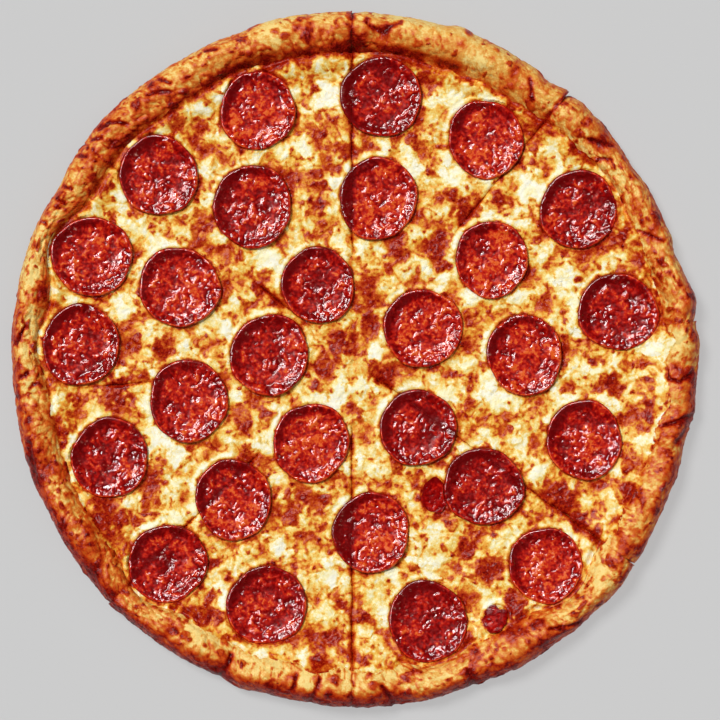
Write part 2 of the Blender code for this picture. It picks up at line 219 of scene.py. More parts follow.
# Places where the cheese browned more, or stayed pale (below zero), in the photograph's pixels:
# across, down, size, strength
CHEESE_PATCHES = (
    (322, 112, 7, 1.0), (337, 150, 15, 0.5), (430, 170, 8, 1.0), (437, 90, 8, 0.7), (458, 212, 10, 1.0),
    (320, 204, 7, 1.2), (290, 190, 7, 0.7), (245, 285, 9, 0.5), (160, 350, 10, 1.0), (203, 350, 9, 0.7),
    (342, 344, 12, 2.0), (372, 368, 6, 1.3), (384, 378, 6, 1.6), (312, 388, 6, 1.2), (322, 370, 6, 0.9),
    (350, 405, 5, 1.0), (516, 612, 9, 2.4), (510, 602, 5, 1.2), (433, 500, 15, 1.2), (265, 412, 7, 1.1),
    (467, 398, 9, 0.8), (500, 432, 8, 0.4), (612, 383, 11, 1.7), (649, 379, 5, 1.6), (650, 402, 6, 1.3),
    (652, 415, 5, 1.3), (656, 448, 4, 1.7), (594, 362, 5, 1.6), (578, 279, 4, 1.6), (656, 274, 5, 1.5),
    (641, 262, 4, 1.3), (658, 293, 4, 1.2), (630, 490, 10, 0.8), (566, 500, 13, 2.0), (586, 519, 8, 1.6),
    (602, 486, 5, 1.5), (579, 524, 7, 1.5), (617, 536, 10, 0.9), (485, 570, 13, 0.8), (464, 546, 9, 0.9),
    (364, 617, 7, 1.7), (341, 607, 7, 1.2), (325, 640, 11, 0.6), (300, 505, 11, 0.9), (294, 530, 9, 0.7),
    (121, 384, 15, 1.1), (114, 404, 11, 1.0), (110, 522, 16, 0.8), (96, 560, 13, 0.7), (155, 480, 8, 0.9),
    (62, 432, 5, 1.6), (65, 446, 5, 1.4), (70, 397, 6, 1.4), (198, 618, 6, 1.3), (214, 563, 4.5, 2.2),
    (201, 589, 5, 1.6), (160, 603, 5, 1.6), (173, 608, 5, 1.7), (186, 612, 5, 1.8), (208, 620, 5, 1.8),
    (574, 147, 5, 1.6), (290, 226, 9, 0.6), (374, 322, 11, 0.7), (436, 246, 9, 0.7), (618, 238, 15, 0.9),
    (545, 120, 10, 0.6), (592, 147, 11, 0.9), (311, 76, 10, 0.5), (136, 122, 16, 0.9), (118, 152, 11, 0.7),
    (352, 290, 9, 0.5), (470, 380, 8, 0.5), (540, 320, 8, 0.3), (255, 545, 8, 0.5), (640, 300, 9, 0.3),
    (319, 657, 6, 1.5), (366, 661, 6, 1.4), (352, 636, 5, 1.2), (395, 640, 9, 0.5), (575, 590, 10, 0.6),
    (240, 150, 8, 0.5), (205, 225, 8, 0.4), (400, 250, 9, 0.5), (425, 480, 7, 0.4), (578, 334, 6, -1.0),
    (335, 186, 8, -0.6), (300, 112, 7, -0.5), (526, 195, 15, -1.0), (455, 171, 14, -0.8),
    (325, 91, 14, -0.9), (303, 150, 14, -0.5), (457, 95, 11, -0.8), (207, 166, 9, -0.8),
    (268, 257, 14, -1.1), (150, 240, 11, -0.6), (119, 311, 9, -1.0), (226, 331, 8, -0.7),
    (338, 402, 9, -1.3), (376, 352, 6, -1.3), (362, 382, 6, -0.9), (312, 352, 7, -0.6),
    (366, 450, 13, -0.8), (566, 290, 13, -0.9), (500, 396, 14, -0.8), (520, 441, 11, -0.8),
    (470, 290, 9, -0.6), (180, 462, 13, -0.8), (275, 481, 9, -0.8), (285, 551, 10, -0.6),
    (320, 521, 8, -0.5), (336, 581, 13, -0.8), (391, 575, 8, -1.0), (385, 611, 6, -0.7),
    (436, 531, 11, -0.6), (540, 470, 8, -0.5), (616, 262, 9, -0.8), (668, 350, 9, -0.5),
    (641, 441, 8, -0.7), (427, 271, 8, -0.6), (382, 251, 10, -0.6), (150, 411, 8, -0.9),
    (166, 431, 9, -0.7), (235, 395, 8, -0.6), (556, 372, 11, -0.6), (520, 245, 9, -0.4),
    (205, 300, 8, -0.6),
)

# A hole burnt at the foot of the rim: bearing, radius, half its width, depth
BURNT_HOLE = (90.1, 158.8, 2.6, 2.6)

# Places where the rim burnt or stayed pale: bearing, radius, size, strength
RIM_PATCHES = (
    (90, 159, 4.0, 4.0), (92, 158, 7.0, 0.8), (88, 174, 2.2, 1.6), (100, 172, 2.4, 1.5),
    (98, 170, 2.2, 0.9), (85, 169, 3.2, 0.8), (71, 170, 2.0, 0.6), (61, 170, 2.2, 0.7),
    (45.5, 170.3, 2.0, 1.5), (35.8, 169.6, 1.5, 1.6), (33.3, 171.2, 1.6, 1.7), (17.5, 165.4, 1.6, 1.7),
    (15.2, 168.7, 1.7, 1.8), (12.7, 171.2, 1.7, 1.8), (10.3, 176, 2.0, 2.2), (7.8, 176.6, 1.6, 2.0),
    (224.2, 169.5, 3.0, 1.3), (223.4, 175, 2.2, 1.4), (238.1, 176.3, 1.6, 1.3), (121.2, 168, 1.5, 1.7),
    (138.5, 163, 3.6, 1.5), (136, 158.5, 2.6, 1.2), (70.8, 177.5, 1.6, 1.5), (351.6, 166.5, 4.0, -0.9),
    (343, 170, 2.2, 0.9), (300, 161, 5.0, 1.1), (352, 155, 3.4, 1.0), (325, 168, 4.0, 1.0),
    (310.3, 175.8, 1.8, 1.6), (236, 168, 2.8, 1.3), (219, 173, 4.0, 1.5), (210, 173, 2.0, 1.0),
    (167.7, 162, 3.5, 1.9), (186.5, 176, 1.4, 1.6), (181.3, 172, 1.6, 1.6), (160.4, 172.6, 1.7, 2.2),
    (169.8, 164, 2.0, 1.2), (201, 175, 4.2, 1.4), (190.6, 171.3, 1.8, 2.6), (196.4, 168.8, 1.8, 1.7),
    (255.2, 172.8, 2.2, 1.9), (265.6, 172.1, 2.2, 1.7), (272.8, 174.9, 1.8, 1.6), (278.8, 163.5, 2.2, 1.6),
    (286.8, 176.7, 1.6, 1.8), (292.7, 173.7, 1.5, 1.7), (303.1, 174.1, 2.8, 1.5), (303.3, 164.6, 1.2, 1.9),
    (292.3, 160.5, 2.2, 1.5), (333.4, 158.5, 4.0, 1.6), (326, 161.8, 2.0, 1.5), (326.2, 175.5, 2.6, 1.9),
    (177, 177, 2.2, 1.1), (240, 163, 7.0, -0.9), (165, 172, 7.0, -0.7), (137, 167, 6.0, -0.6),
    (104, 172, 6.0, -0.5), (67, 165, 7.0, -0.5), (35, 165, 6.0, -0.6), (3, 165.5, 6.5, -1.2),
    (262, 169, 6.0, -0.6), (318, 166, 5.0, -0.5), (185, 168, 5.0, -0.6), (205, 165, 5.0, -0.5),
)

# Dark splits across the rim: half width, strength, then the bearing and radius of each corner
RIM_SPLITS = (
    (0.9, 3.0, (358.2, 160.2), (356.1, 162.3), (355.7, 168.4), (357.0, 173.7), (357.8, 175.8)),
    (1.0, 3.4, (347.7, 163.4), (348.4, 168.6), (349.3, 172.7), (350.4, 177.7)),
    (1.4, 3.0, (43.0, 165.0), (41.2, 169.0), (39.6, 174.8)), (1.3, 2.4, (39.2, 160.3), (37.8, 166.5)),
    (0.9, 2.2, (24.4, 158.0), (22.8, 164.6), (20.8, 172.0)), (1.3, 2.0, (57.9, 171.0), (55.6, 162.8)),
    (1.4, 2.4, (87.5, 169.8), (85.0, 167.0), (84.0, 171.0), (82.3, 175.0)),
    (0.9, 2.6, (116.3, 176.2), (114.3, 173.6)), (1.0, 2.6, (125.2, 175.6), (124.0, 170.4)),
    (1.1, 2.6, (128.5, 172.5), (126.5, 170.0), (125.0, 166.8)),
    (1.1, 3.0, (138.3, 175.8), (136.3, 173.7), (135.0, 168.9), (134.5, 165.3)),
    (1.2, 2.4, (140.5, 175.6), (139.2, 170.9)), (1.0, 2.8, (143.9, 176.5), (143.3, 172.2)),
    (0.9, 2.8, (149.6, 175.0), (149.3, 169.5)), (0.9, 2.8, (152.0, 174.4), (152.1, 167.9)),
    (0.9, 2.6, (153.2, 172.0), (153.2, 167.4)), (1.0, 2.6, (156.5, 172.5), (156.8, 168.6)),
    (1.3, 2.8, (177.6, 174.6), (176.5, 171.1), (174.7, 167.3)), (1.1, 2.6, (183.4, 172.4), (182.7, 166.3)),
    (1.0, 2.4, (185.4, 167.8), (184.7, 163.5)), (1.6, 2.6, (194.9, 173.9), (197.1, 174.7), (200.0, 176.3)),
    (1.1, 3.0, (246.9, 178.0), (247.5, 170.4), (247.2, 163.5)), (1.0, 2.6, (259.5, 165.0), (259.3, 172.9)),
    (1.1, 2.6, (263.6, 165.4), (263.2, 171.0), (262.5, 177.5)), (1.2, 3.0, (274.6, 168.0), (276.4, 177.0)),
    (1.6, 2.6, (290.0, 168.5), (289.6, 177.5)), (0.9, 2.2, (305.5, 168.5), (307.9, 171.7), (310.3, 175.8)),
    (1.3, 2.6, (347.3, 176.3), (345.3, 174.2)),
)

# The main light comes from the upper left
LIGHT_FROM = np.array((-0.7071, 0.7071))


def linear(red, green, blue):
    """Turn a colour from 0 to 255, as a screen shows it, into light."""
    return tuple(
        c / 255.0 / 12.92 if c <= 10.3 else ((c / 255.0 + 0.055) / 1.055) ** 2.4
        for c in (red, green, blue)
    )


# Patterns


def smooth_step(low, high, value):
    """Go from 0 at low to 1 at high without a kink."""
    t = np.clip((value - low) / (high - low), 0.0, 1.0)
    return t * t * (3.0 - 2.0 * t)


def angle_between(a, b):
    """Smallest angle between bearings, in degrees."""
    return np.abs((a - b + 180.0) % 360.0 - 180.0)


def hump(distance, half_width):
    """A smooth bump that is 1 in its middle."""
    return np.exp(-((distance / half_width) ** 2))


def hump_at(bearing, at, half_width):
    """The same around the pizza, at its own bearing, with its half width in degrees."""
    return hump(angle_between(bearing, at), half_width)


def dough_noise(x, y, z, size):
    """The soft waves of the plain model, so that the pieces here follow it."""
    spots = np.stack([np.broadcast_to(v, x.shape).ravel() for v in (x, y, z)], axis=1) / size
    return np.array([noise.noise(Vector(spot)) for spot in spots.tolist()]).reshape(x.shape)


def scramble(i, j, seed):
    """A fixed random number from 0 to 1 for each pair of whole numbers."""
    mixed = (i * 374761393 + j * 668265263 + seed * 144665) & 0xFFFFFFFF
    mixed = ((mixed ^ (mixed >> 13)) * 1274126177) & 0xFFFFFFFF
    mixed = ((mixed ^ (mixed >> 15)) * 1103515245) & 0xFFFFFFFF
    return (mixed ^ (mixed >> 16)) / 4294967296.0


# The directions in which the random waves can slope
SPOKES = 64
SPOKE_X = np.cos(np.arange(SPOKES) * 2.0 * math.pi / SPOKES)
SPOKE_Y = np.sin(np.arange(SPOKES) * 2.0 * math.pi / SPOKES)


def lattice(x, y, size, around):
    """Cell numbers and places inside the cell. Around is the length after which x repeats."""
    count = None if around is None else max(3, round(around / size))
    u = x / size if around is None else x / around * count
    v = y / size
    column, row = np.floor(u).astype(np.int64), np.floor(v).astype(np.int64)
    return column, row, u - column, v - row, count


def ripple(x, y, size, seed, around=None):
    """Smooth random waves of one size, from about -1 to 1."""
    column, row, u, v, count = lattice(x, y, size, around)
    ease_u, ease_v = u * u * u * (u * (u * 6.0 - 15.0) + 10.0), v * v * v * (v * (v * 6.0 - 15.0) + 10.0)
    total = 0.0
    for right in (0, 1):
        i = column + right if count is None else (column + right) % count
        across = ease_u if right else 1.0 - ease_u
        for up in (0, 1):
            spoke = (scramble(i, row + up, seed) * SPOKES).astype(np.int64)
            slope = SPOKE_X[spoke] * (u - right) + SPOKE_Y[spoke] * (v - up)
            total = total + slope * across * (ease_v if up else 1.0 - ease_v)
    return total * 1.55


def cells(x, y, size, seed, around=None):
    """Scattered points: the distance to the nearest one, and its own random number."""
    column, row, u, v, count = lattice(x, y, size, around)
    nearest, label = np.full(x.shape, 9.0), np.zeros(x.shape)
    for right in (-1, 0, 1):
        i = column + right if count is None else (column + right) % count
        for up in (-1, 0, 1):
            j = row + up
            across = right + 0.1 + 0.8 * scramble(i, j, seed) - u
            along = up + 0.1 + 0.8 * scramble(i, j, seed + 1) - v
            distance = np.hypot(across, along)
            closer = distance < nearest
            label = np.where(closer, scramble(i, j, seed + 2), label)
            nearest = np.where(closer, distance, nearest)
    return nearest * size, label


def bent(x, y, bends, seed, around=None):
    """Push points about by waves of a few strengths and sizes, so that patterns on them look torn."""
    moved = []
    for k, place in enumerate((x, y)):
        for j, (strength, size) in enumerate(bends):
            place = place + strength * ripple(x, y, size, seed + k * len(bends) + j, around)
        moved.append(place)
    return moved


def spots(x, y, size, seed, share, smallest, largest, around=None):
    """Round spots scattered at random: how far inside a spot each point is, and its distance to the ring."""
    distance, label = cells(x, y, size, seed, around)
    radius = smallest + (largest - smallest) * ((label * 97.0) % 1.0)
    present = label < share
    inside = np.where(present, smooth_step(radius + 0.35, radius - 0.55, distance), 0.0)
    ring = np.where(present, distance - radius, 9.0)
    return inside, ring


def beside_line(x, y, corners):
    """Distance from each point to a bent line through the corners, given by bearing and radius."""
    bearings, radii = (np.array(part) for part in zip(*corners))
    line = np.stack(from_polar(radii, bearings), axis=1)
    nearest = np.full(x.shape, 999.0)
    for (ax, ay), (bx, by) in zip(line[:-1], line[1:]):
        run = ((x - ax) * (bx - ax) + (y - ay) * (by - ay)) / ((bx - ax) ** 2 + (by - ay) ** 2)
        run = np.clip(run, 0.0, 1.0)
        nearest = np.minimum(nearest, np.hypot(x - ax - run * (bx - ax), y - ay - run * (by - ay)))
    return nearest


def ranked(values, samples):
    """Spread values evenly from 0 to 1 by their rank among samples."""
    return np.searchsorted(samples, values) / len(samples)


# Form of the whole pizza

# The bearings that the tables of the foot, the outline and the cheese's edge are made for
BEARING_TABLE = np.arange(0.0, 360.0, 0.1)


def foot_table():
    """Where the rim starts at each bearing: further out where a pepperoni leans on it."""
    foot = np.full(BEARING_TABLE.shape, RIM_FOOT)
    for _, x, y, width, length in PEPPERONI:
        push = max(0.0, math.hypot(x, y) + (width + length) / 4.0 - RIM_FOOT)
        foot += push * hump_at(BEARING_TABLE, math.degrees(math.atan2(y, x)), 8.0)
    return foot


def wave_table():
    """How the outline departs from its slice's own reach."""
    turn = np.radians(BEARING_TABLE)
    wave = 1.1 * dough_noise(4.0 * np.cos(turn), 4.0 * np.sin(turn), np.full(turn.shape, 3.7), 1.0)
    for start in SLICE_STARTS:
        wave -= CUT_ROUNDING * 0.15 * hump_at(BEARING_TABLE, start, CUT_ROUNDING_WIDTH)
    for at, half_width, rise in OUTLINE_SWELLS:
        wave += rise * hump_at(BEARING_TABLE, at, half_width)
    # The slices beside the last cut reach out differently, but meet in one smooth outline at this bearing
    last_cut = 323.3
    wave += 2.4 * smooth_step(330.0, 325.0, BEARING_TABLE) * (BEARING_TABLE > last_cut)
    wave -= 0.8 * smooth_step(319.0, last_cut, BEARING_TABLE) * (BEARING_TABLE <= last_cut)
    return wave


def edge_table():
    """How far out the cheese creeps at each bearing, in uneven tongues."""
    bearings, radii = zip(*CHEESE_EDGE)
    edge = np.interp(BEARING_TABLE, bearings, radii)
    arc = BEARING_TABLE / 360.0 * RIM_ARC
    edge += 1.6 * ripple(arc, np.zeros(arc.shape), 15.0, 301, RIM_ARC)
    edge += 1.1 * ripple(arc, np.zeros(arc.shape), 5.5, 302, RIM_ARC)
    return np.maximum(edge, FOOT + 2.0)


FOOT = foot_table()
WAVE = wave_table()
EDGE = edge_table()


def at_bearing(table, bearing):
    """Read a table by bearing."""
    return np.interp(bearing, BEARING_TABLE, table, period=360.0)


def polar(x, y):
    """Radius and bearing of each point."""
    return np.hypot(x, y), np.degrees(np.arctan2(y, x))


def from_polar(radius, bearing):
    """The reverse: how far across and up the points at a radius and bearing are."""
    turn = np.radians(bearing)
    return radius * np.cos(turn), radius * np.sin(turn)


# The turned section of the rim, radius and height: first what shows from above, then what doesn't
SECTION_ABOVE = (
    (RIM_FOOT - 13.0, BASE_THICKNESS), (RIM_FOOT - 5.5, BASE_THICKNESS + 0.5),
    (RIM_FOOT - 1.0, BASE_THICKNESS + 1.9), (RIM_FOOT + 2.5, BASE_THICKNESS + 4.6),
    (RIM_FOOT + 5.0, BASE_THICKNESS + 7.8), (RIM_FOOT + 8.5, RIM_HEIGHT - 2.7),
    (RIM_FOOT + 12.5, RIM_HEIGHT - 0.5), (RIM_REACH - 8.0, RIM_HEIGHT),
    (RIM_REACH - 4.2, RIM_HEIGHT - 2.2), (RIM_REACH - 1.2, RIM_HEIGHT - 6.6),
    (RIM_REACH, RIM_HEIGHT - 11.5),
)
SECTION_BELOW = ((RIM_REACH - 1.4, RIM_HEIGHT - 16.0), (RIM_REACH - 3.6, 1.1), (RIM_REACH - 6.4, 0.0))


def smooth_section(step):
    """The rim's section as an even run of points on a smooth curve."""
    points = np.array(SECTION_ABOVE + SECTION_BELOW)
    padded = np.vstack([2 * points[0] - points[1], points, 2 * points[-1] - points[-2]])
    run = []
    for i in range(len(points) - 1):
        p0, p1, p2, p3 = padded[i:i + 4]
        for t in np.arange(0.0, 1.0, 0.05):
            run.append(0.5 * (2 * p1 + (p2 - p0) * t + (2 * p0 - 5 * p1 + 4 * p2 - p3) * t ** 2
                              + (3 * p1 - p0 - 3 * p2 + p3) * t ** 3))
    run = np.array(run + [points[-1]])
    length = np.concatenate([[0.0], np.cumsum(np.hypot(*np.diff(run, axis=0).T))])
    places = np.linspace(0.0, length[-1], round(length[-1] / step))
    return np.interp(places, length, run[:, 0]), np.interp(places, length, run[:, 1]), places


TOP_RADII, TOP_HEIGHTS = np.array(((0.0, BASE_THICKNESS), *SECTION_ABOVE)).T


def warp_radius(radius, bearing, reach):
    """Push a point of the round section out to the rim's own foot and outline."""
    foot, out = at_bearing(FOOT, bearing), reach + at_bearing(WAVE, bearing)
    inner = FLAT_RADIUS + (radius - FLAT_RADIUS) * (foot - FLAT_RADIUS) / (RIM_FOOT - FLAT_RADIUS)
    outer = foot + (radius - RIM_FOOT) * (out - foot) / (RIM_REACH - RIM_FOOT)
    return np.where(radius <= FLAT_RADIUS, radius, np.where(radius <= RIM_FOOT, inner, outer))


def unwarp_radius(radius, bearing, reach):
    """The reverse: which point of the round section lies at this radius."""
    foot, out = at_bearing(FOOT, bearing), reach + at_bearing(WAVE, bearing)
    inner = FLAT_RADIUS + (radius - FLAT_RADIUS) * (RIM_FOOT - FLAT_RADIUS) / (foot - FLAT_RADIUS)
    outer = RIM_FOOT + (radius - foot) * (RIM_REACH - RIM_FOOT) / (out - foot)
    return np.where(radius <= FLAT_RADIUS, radius, np.where(radius <= foot, inner, outer))


def rim_relief(radius, height, bearing):
    """How far the rim stands above or below its turned section."""
    on_rim = smooth_step(RIM_FOOT + 4.0, RIM_FOOT + 12.0, radius)
    on_top = smooth_step(2.0, RIM_HEIGHT * 0.7, height)
    x, y = from_polar(radius, bearing)
    lift = 1.2 * dough_noise(x, y, height, 26.0) + 0.9 * dough_noise(x, y, height, 11.0)
    lift -= PRESSED_RIM_DROP * (at_bearing(FOOT, bearing) - RIM_FOOT)
    for at, depth in RIM_CREASES:
        lift -= depth * hump_at(bearing, at, CREASE_HALF_WIDTH)
    for at, rise in RIM_PUFFS:
        lift += rise * hump_at(bearing, at, PUFF_HALF_WIDTH)
    for start in SLICE_STARTS:
        lift -= 0.45 * CUT_ROUNDING * hump_at(bearing, start, CUT_ROUNDING_WIDTH)
    return lift * on_rim * on_top


def crust_top(x, y, reach):
    """Height of the top of the crust."""
    radius, bearing = polar(x, y)
    round_radius = unwarp_radius(radius, bearing, reach)
    height = np.interp(round_radius, TOP_RADII, TOP_HEIGHTS)
    rim = round_radius > RIM_FOOT
    lift = np.zeros(x.shape)
    lift[rim] = rim_relief(round_radius[rim], height[rim], bearing[rim])
    return height + lift


def cheese_level(x, y, lumpiness=1.0):
    """Height of the cheese: soft lumps all over, and a lip that climbs the rim unevenly."""
    radius, bearing = polar(x, y)
    lumps = dough_noise(x, y, 50.0, 24.0) + 0.7 * dough_noise(x, y, 50.0, 10.0)
    lip = CHEESE_LIP + dough_noise(x, y, 50.0, 17.0)
    climb = lip * smooth_step(-8.0, 2.0, radius - at_bearing(FOOT, bearing))
    return BASE_THICKNESS + CHEESE_THICKNESS + CHEESE_LUMP * lumps * lumpiness + climb


def bed_height(x, y):
    """Level of the cheese, or of the rim beyond it, under one point of a topping."""
    across, along = np.array([x]), np.array([y])
    radius, bearing = polar(across, along)
    past_lip = max(0.0, float((radius - at_bearing(FOOT, bearing))[0]) - 3.0)
    return float(cheese_level(across, along, lumpiness=0.6)[0]) + 1.1 * past_lip


class Disc:
    """One slice of pepperoni: where it lies, how it tilts and how far out of round it is."""

    def __init__(self, number, x, y, width, length, thick, cup):
        self.number, self.x, self.y = number, x, y
        self.half = (width / 2.0, length / 2.0)
        self.mean = (width + length) / 4.0
        self.thick, self.cup = thick, cup
        reach = max(0.7 * self.mean, 12.0)
        east, west = bed_height(x + reach, y), bed_height(x - reach, y)
        north, south = bed_height(x, y + reach), bed_height(x, y - reach)
        lean = Vector(((west - east) / (2.0 * reach), (south - north) / (2.0 * reach), 1.0))
        self.level = (east + west + north + south + 2.0 * bed_height(x, y)) / 6.0 - PEPPERONI_SINK
        tilt = Vector((0.0, 0.0, 1.0)).rotation_difference(lean.normalized())
        self.place = Matrix.Translation((x, y, self.level)) @ tilt.to_matrix().to_4x4()
        self.normal = lean.normalized()

    def swell(self, turn):
        """How far the edge departs from an ellipse."""
        broad = 0.022 * np.sin(2.0 * turn + self.number) + 0.016 * np.sin(3.0 * turn + 2.3 * self.number)
        narrow = 0.012 * np.sin(5.0 * turn + 3.1 * self.number)
        return 1.0 + broad + narrow + 0.006 * np.sin(9.0 * turn + self.number)

    def outline(self, turn, scale=1.0):
        """Points of its edge, flat, around its middle."""
        swell = self.swell(turn) * scale
        return np.stack([self.half[0] * np.cos(turn) * swell, self.half[1] * np.sin(turn) * swell], axis=1)

    def inward(self, u, v):
        """How far out from its middle a flat point is, with its edge as 1."""
        turn = np.arctan2(v / self.half[1], u / self.half[0])
        return np.hypot(u / self.half[0], v / self.half[1]) / self.swell(turn)

    def over(self, x, y):
        """The same for a point seen from above, with the height of the disc's flat underside there."""
        u, v = x - self.x, y - self.y
        drop = -(self.normal.x * u + self.normal.y * v) / self.normal.z
        flat = np.array(self.place.to_3x3().inverted())
        across = flat[0, 0] * u + flat[0, 1] * v + flat[0, 2] * drop
        along = flat[1, 0] * u + flat[1, 1] * v + flat[1, 2] * drop
        return self.inward(across, along), self.level + drop

    def underside(self, out):
        """Height of the underside over its flat middle."""
        curl = np.clip((out - CURL_START) / (1.0 - CURL_START), 0.0, 1.0)
        return (self.thick + CURL_RISE * self.cup) * curl


def all_discs():
    """Every pepperoni by number, then the scraps."""
    discs = {row[0]: Disc(*row, PEPPERONI_THICKNESS, PEPPERONI_CUP) for row in PEPPERONI}
    for i, scrap in enumerate(SCRAPS, start=1):
        number = len(PEPPERONI) + i
        discs[number] = Disc(number, *scrap, SCRAP_THICKNESS, SCRAP_CUP)
    return discs


DISCS = all_discs()


def discs_near(x, y, margin):
    """Each pepperoni that lies within a margin of some of the points, and which points those are."""
    for disc in DISCS.values():
        near = np.hypot(x - disc.x, y - disc.y) < disc.mean + margin
        if near.any():
            yield disc, near


# Knife cuts


def cut_direction(angle):
    """Unit vectors along a cut and square to it, on its counterclockwise side."""
    turn = math.radians(angle)
    return np.array((math.cos(turn), math.sin(turn))), np.array((-math.sin(turn), math.cos(turn)))


def from_cut(x, y, angle):
    """How far along a cut each point is, and how far to its counterclockwise side."""
    along, square = cut_direction(angle)
    u, v = x - CUTS_MEET[0], y - CUTS_MEET[1]
    forward = u * along[0] + v * along[1]
    return forward, u * square[0] + v * square[1] - cut_wander(angle, forward)


def cut_ripple(angle, along, size, seed):
    """Waves along one cut, other ones for each cut."""
    return ripple(along, np.full(np.shape(along), angle), size, seed)


def cut_wander(angle, along):
    """How far the edge of a cut strays from the straight line, to its counterclockwise side."""
    stray = 0.5 * cut_ripple(angle, along, 13.0, 403) + 0.35 * cut_ripple(angle, along, 4.0, 404)
    return stray * smooth_step(4.0, 14.0, along)


def cut_openness(angle, along):
    """From 0 where the cut melted shut to 1 where it stayed open."""
    openness = np.zeros(np.shape(along))
    for low, high in OPEN_CUTS[angle]:
        stretch = smooth_step(low - 5, low + 4, along) * smooth_step(high + 5, high - 4, along)
        openness = np.maximum(openness, stretch)
    patchy = 0.72 + 0.45 * cut_ripple(angle, along, 9.0, 401)
    return openness * np.clip(patchy, 0.0, 1.0)


def cut_half_width(angle, along):
    """Half the width of the gap."""
    jagged = 0.05 * cut_ripple(angle, along, 1.7, 402)
    return SHUT_HALF_WIDTH + (OPEN_HALF_WIDTH + jagged - SHUT_HALF_WIDTH) * cut_openness(angle, along)


def slice_angles(index):
    """Bearings of the two cuts beside a slice, counterclockwise."""
    return SLICE_STARTS[index], SLICE_STARTS[(index + 1) % len(SLICE_STARTS)]


def slice_tip(index, inset):
    """The tip of a slice, drawn in from both its cuts, its middle bearing and half its turn in radians."""
    start, end = slice_angles(index)
    half_turn = math.radians((end - start) % 360.0) / 2.0
    middle = math.radians(start) + half_turn
    tip = CUTS_MEET + inset / math.sin(half_turn) * np.array((math.cos(middle), math.sin(middle)))
    return tip, middle, half_turn


# Meshes


def new_piece(name, points, faces, finishes, attributes, material_index=None):
    """Make an object of a list of points in millimetres from the middle of the pizza."""
    mesh = bpy.data.meshes.new(name)
    placed = (np.asarray(points) + (MIDDLE[0], MIDDLE[1], 0.0)) * MM
    mesh.from_pydata(placed.tolist(), [], faces)
    for finish in finishes:
        mesh.materials.append(finish)
    for key, values in attributes.items():
        mesh.attributes.new(key, "FLOAT", "POINT").data.foreach_set("value", np.asarray(values, np.float32))
    if material_index is not None:
        mesh.polygons.foreach_set("material_index", np.asarray(material_index, np.int32))
    mesh.shade_smooth()
    mesh.set_sharp_from_angle(angle=math.radians(62.0))
    mesh.validate()
    piece = bpy.data.objects.new(name, mesh)
    bpy.context.scene.collection.objects.link(piece)
    return piece


def hex_points(low, high, spacing):
    """An even triangular field of points over a rectangle."""
    row_step = 0.866
    rows = np.arange(low[1], high[1], spacing * row_step)
    columns = np.arange(low[0], high[0], spacing)
    x, y = np.meshgrid(columns, rows)
    x = x + (np.arange(len(rows)) % 2)[:, None] * spacing / 2.0
    return x.ravel(), y.ravel()


def triangulate(outline, inner):
    """Triangles over an outline, given counterclockwise, and the points inside it."""
    points = [Vector(p) for p in outline.tolist()] + [Vector(p) for p in inner.tolist()]
    made = delaunay_2d_cdt(points, [], [list(range(len(outline)))], 1, 1e-6)
    if len(made[0]) != len(points):
        raise RuntimeError("two points of a piece lie on each other")
    flat = np.array([tuple(p) for p in made[0]])
    triangles = np.array(made[2])
    a, b, c = (flat[triangles[:, k]] for k in range(3))
    area = (b[:, 0] - a[:, 0]) * (c[:, 1] - a[:, 1]) - (c[:, 0] - a[:, 0]) * (b[:, 1] - a[:, 1])
    triangles[area < 0] = triangles[area < 0][:, ::-1]
    return flat, triangles


def slab(outline, fine, coarse, top, bottom):
    """A closed body on one outline: a fine top, a coarse underside and a wall between."""
    upper, upper_faces = triangulate(outline, fine)
    lower, lower_faces = triangulate(outline, coarse)
    count, edge = len(upper), len(outline)
    points = np.vstack([
        np.column_stack([upper, top(upper[:, 0], upper[:, 1])]),
        np.column_stack([lower, bottom(lower[:, 0], lower[:, 1])]),
    ])
    here = np.arange(edge)
    after = (here + 1) % edge
    wall = np.column_stack([here + count, after + count, after, here])
    faces = upper_faces.tolist() + (lower_faces[:, ::-1] + count).tolist() + wall.tolist()
    return points, faces, count


def keep_apart(points, outline, distance):
    """Which points stay clear of an outline: a coarse test on a grid of occupied squares."""
    taken = set()
    for i, j in np.floor(outline / distance).astype(int).tolist():
        taken.update((i + a, j + b) for a in (-1, 0, 1) for b in (-1, 0, 1))
    return np.array([(i, j) not in taken for i, j in np.floor(points / distance).astype(int).tolist()])


# Shader building


class Wire:
    """A number inside a finish. Sums written with it add Math nodes."""

    def __init__(self, finish, socket):
        self.finish, self.socket = finish, socket

    def maths(self, operation, first, second):
        node = self.finish.node("ShaderNodeMath", {"operation": operation}, {0: first, 1: second})
        return Wire(self.finish, node.outputs[0])

    def __add__(self, other):
        return self.maths("ADD", self, other)

    def __radd__(self, other):
        return self.maths("ADD", other, self)

    def __sub__(self, other):
        return self.maths("SUBTRACT", self, other)

    def __rsub__(self, other):
        return self.maths("SUBTRACT", other, self)

    def __mul__(self, other):
        return self.maths("MULTIPLY", self, other)

    def __rmul__(self, other):
        return self.maths("MULTIPLY", other, self)

    def between(self, low, high, to_low=0.0, to_high=1.0):
        """Carry a range over to another one smoothly, and stay inside it."""
        node = self.finish.node(
            "ShaderNodeMapRange",
            {"interpolation_type": "SMOOTHSTEP"},
            {"Value": self, "From Min": low, "From Max": high, "To Min": to_low, "To Max": to_high},
        )
        return Wire(self.finish, node.outputs["Result"])


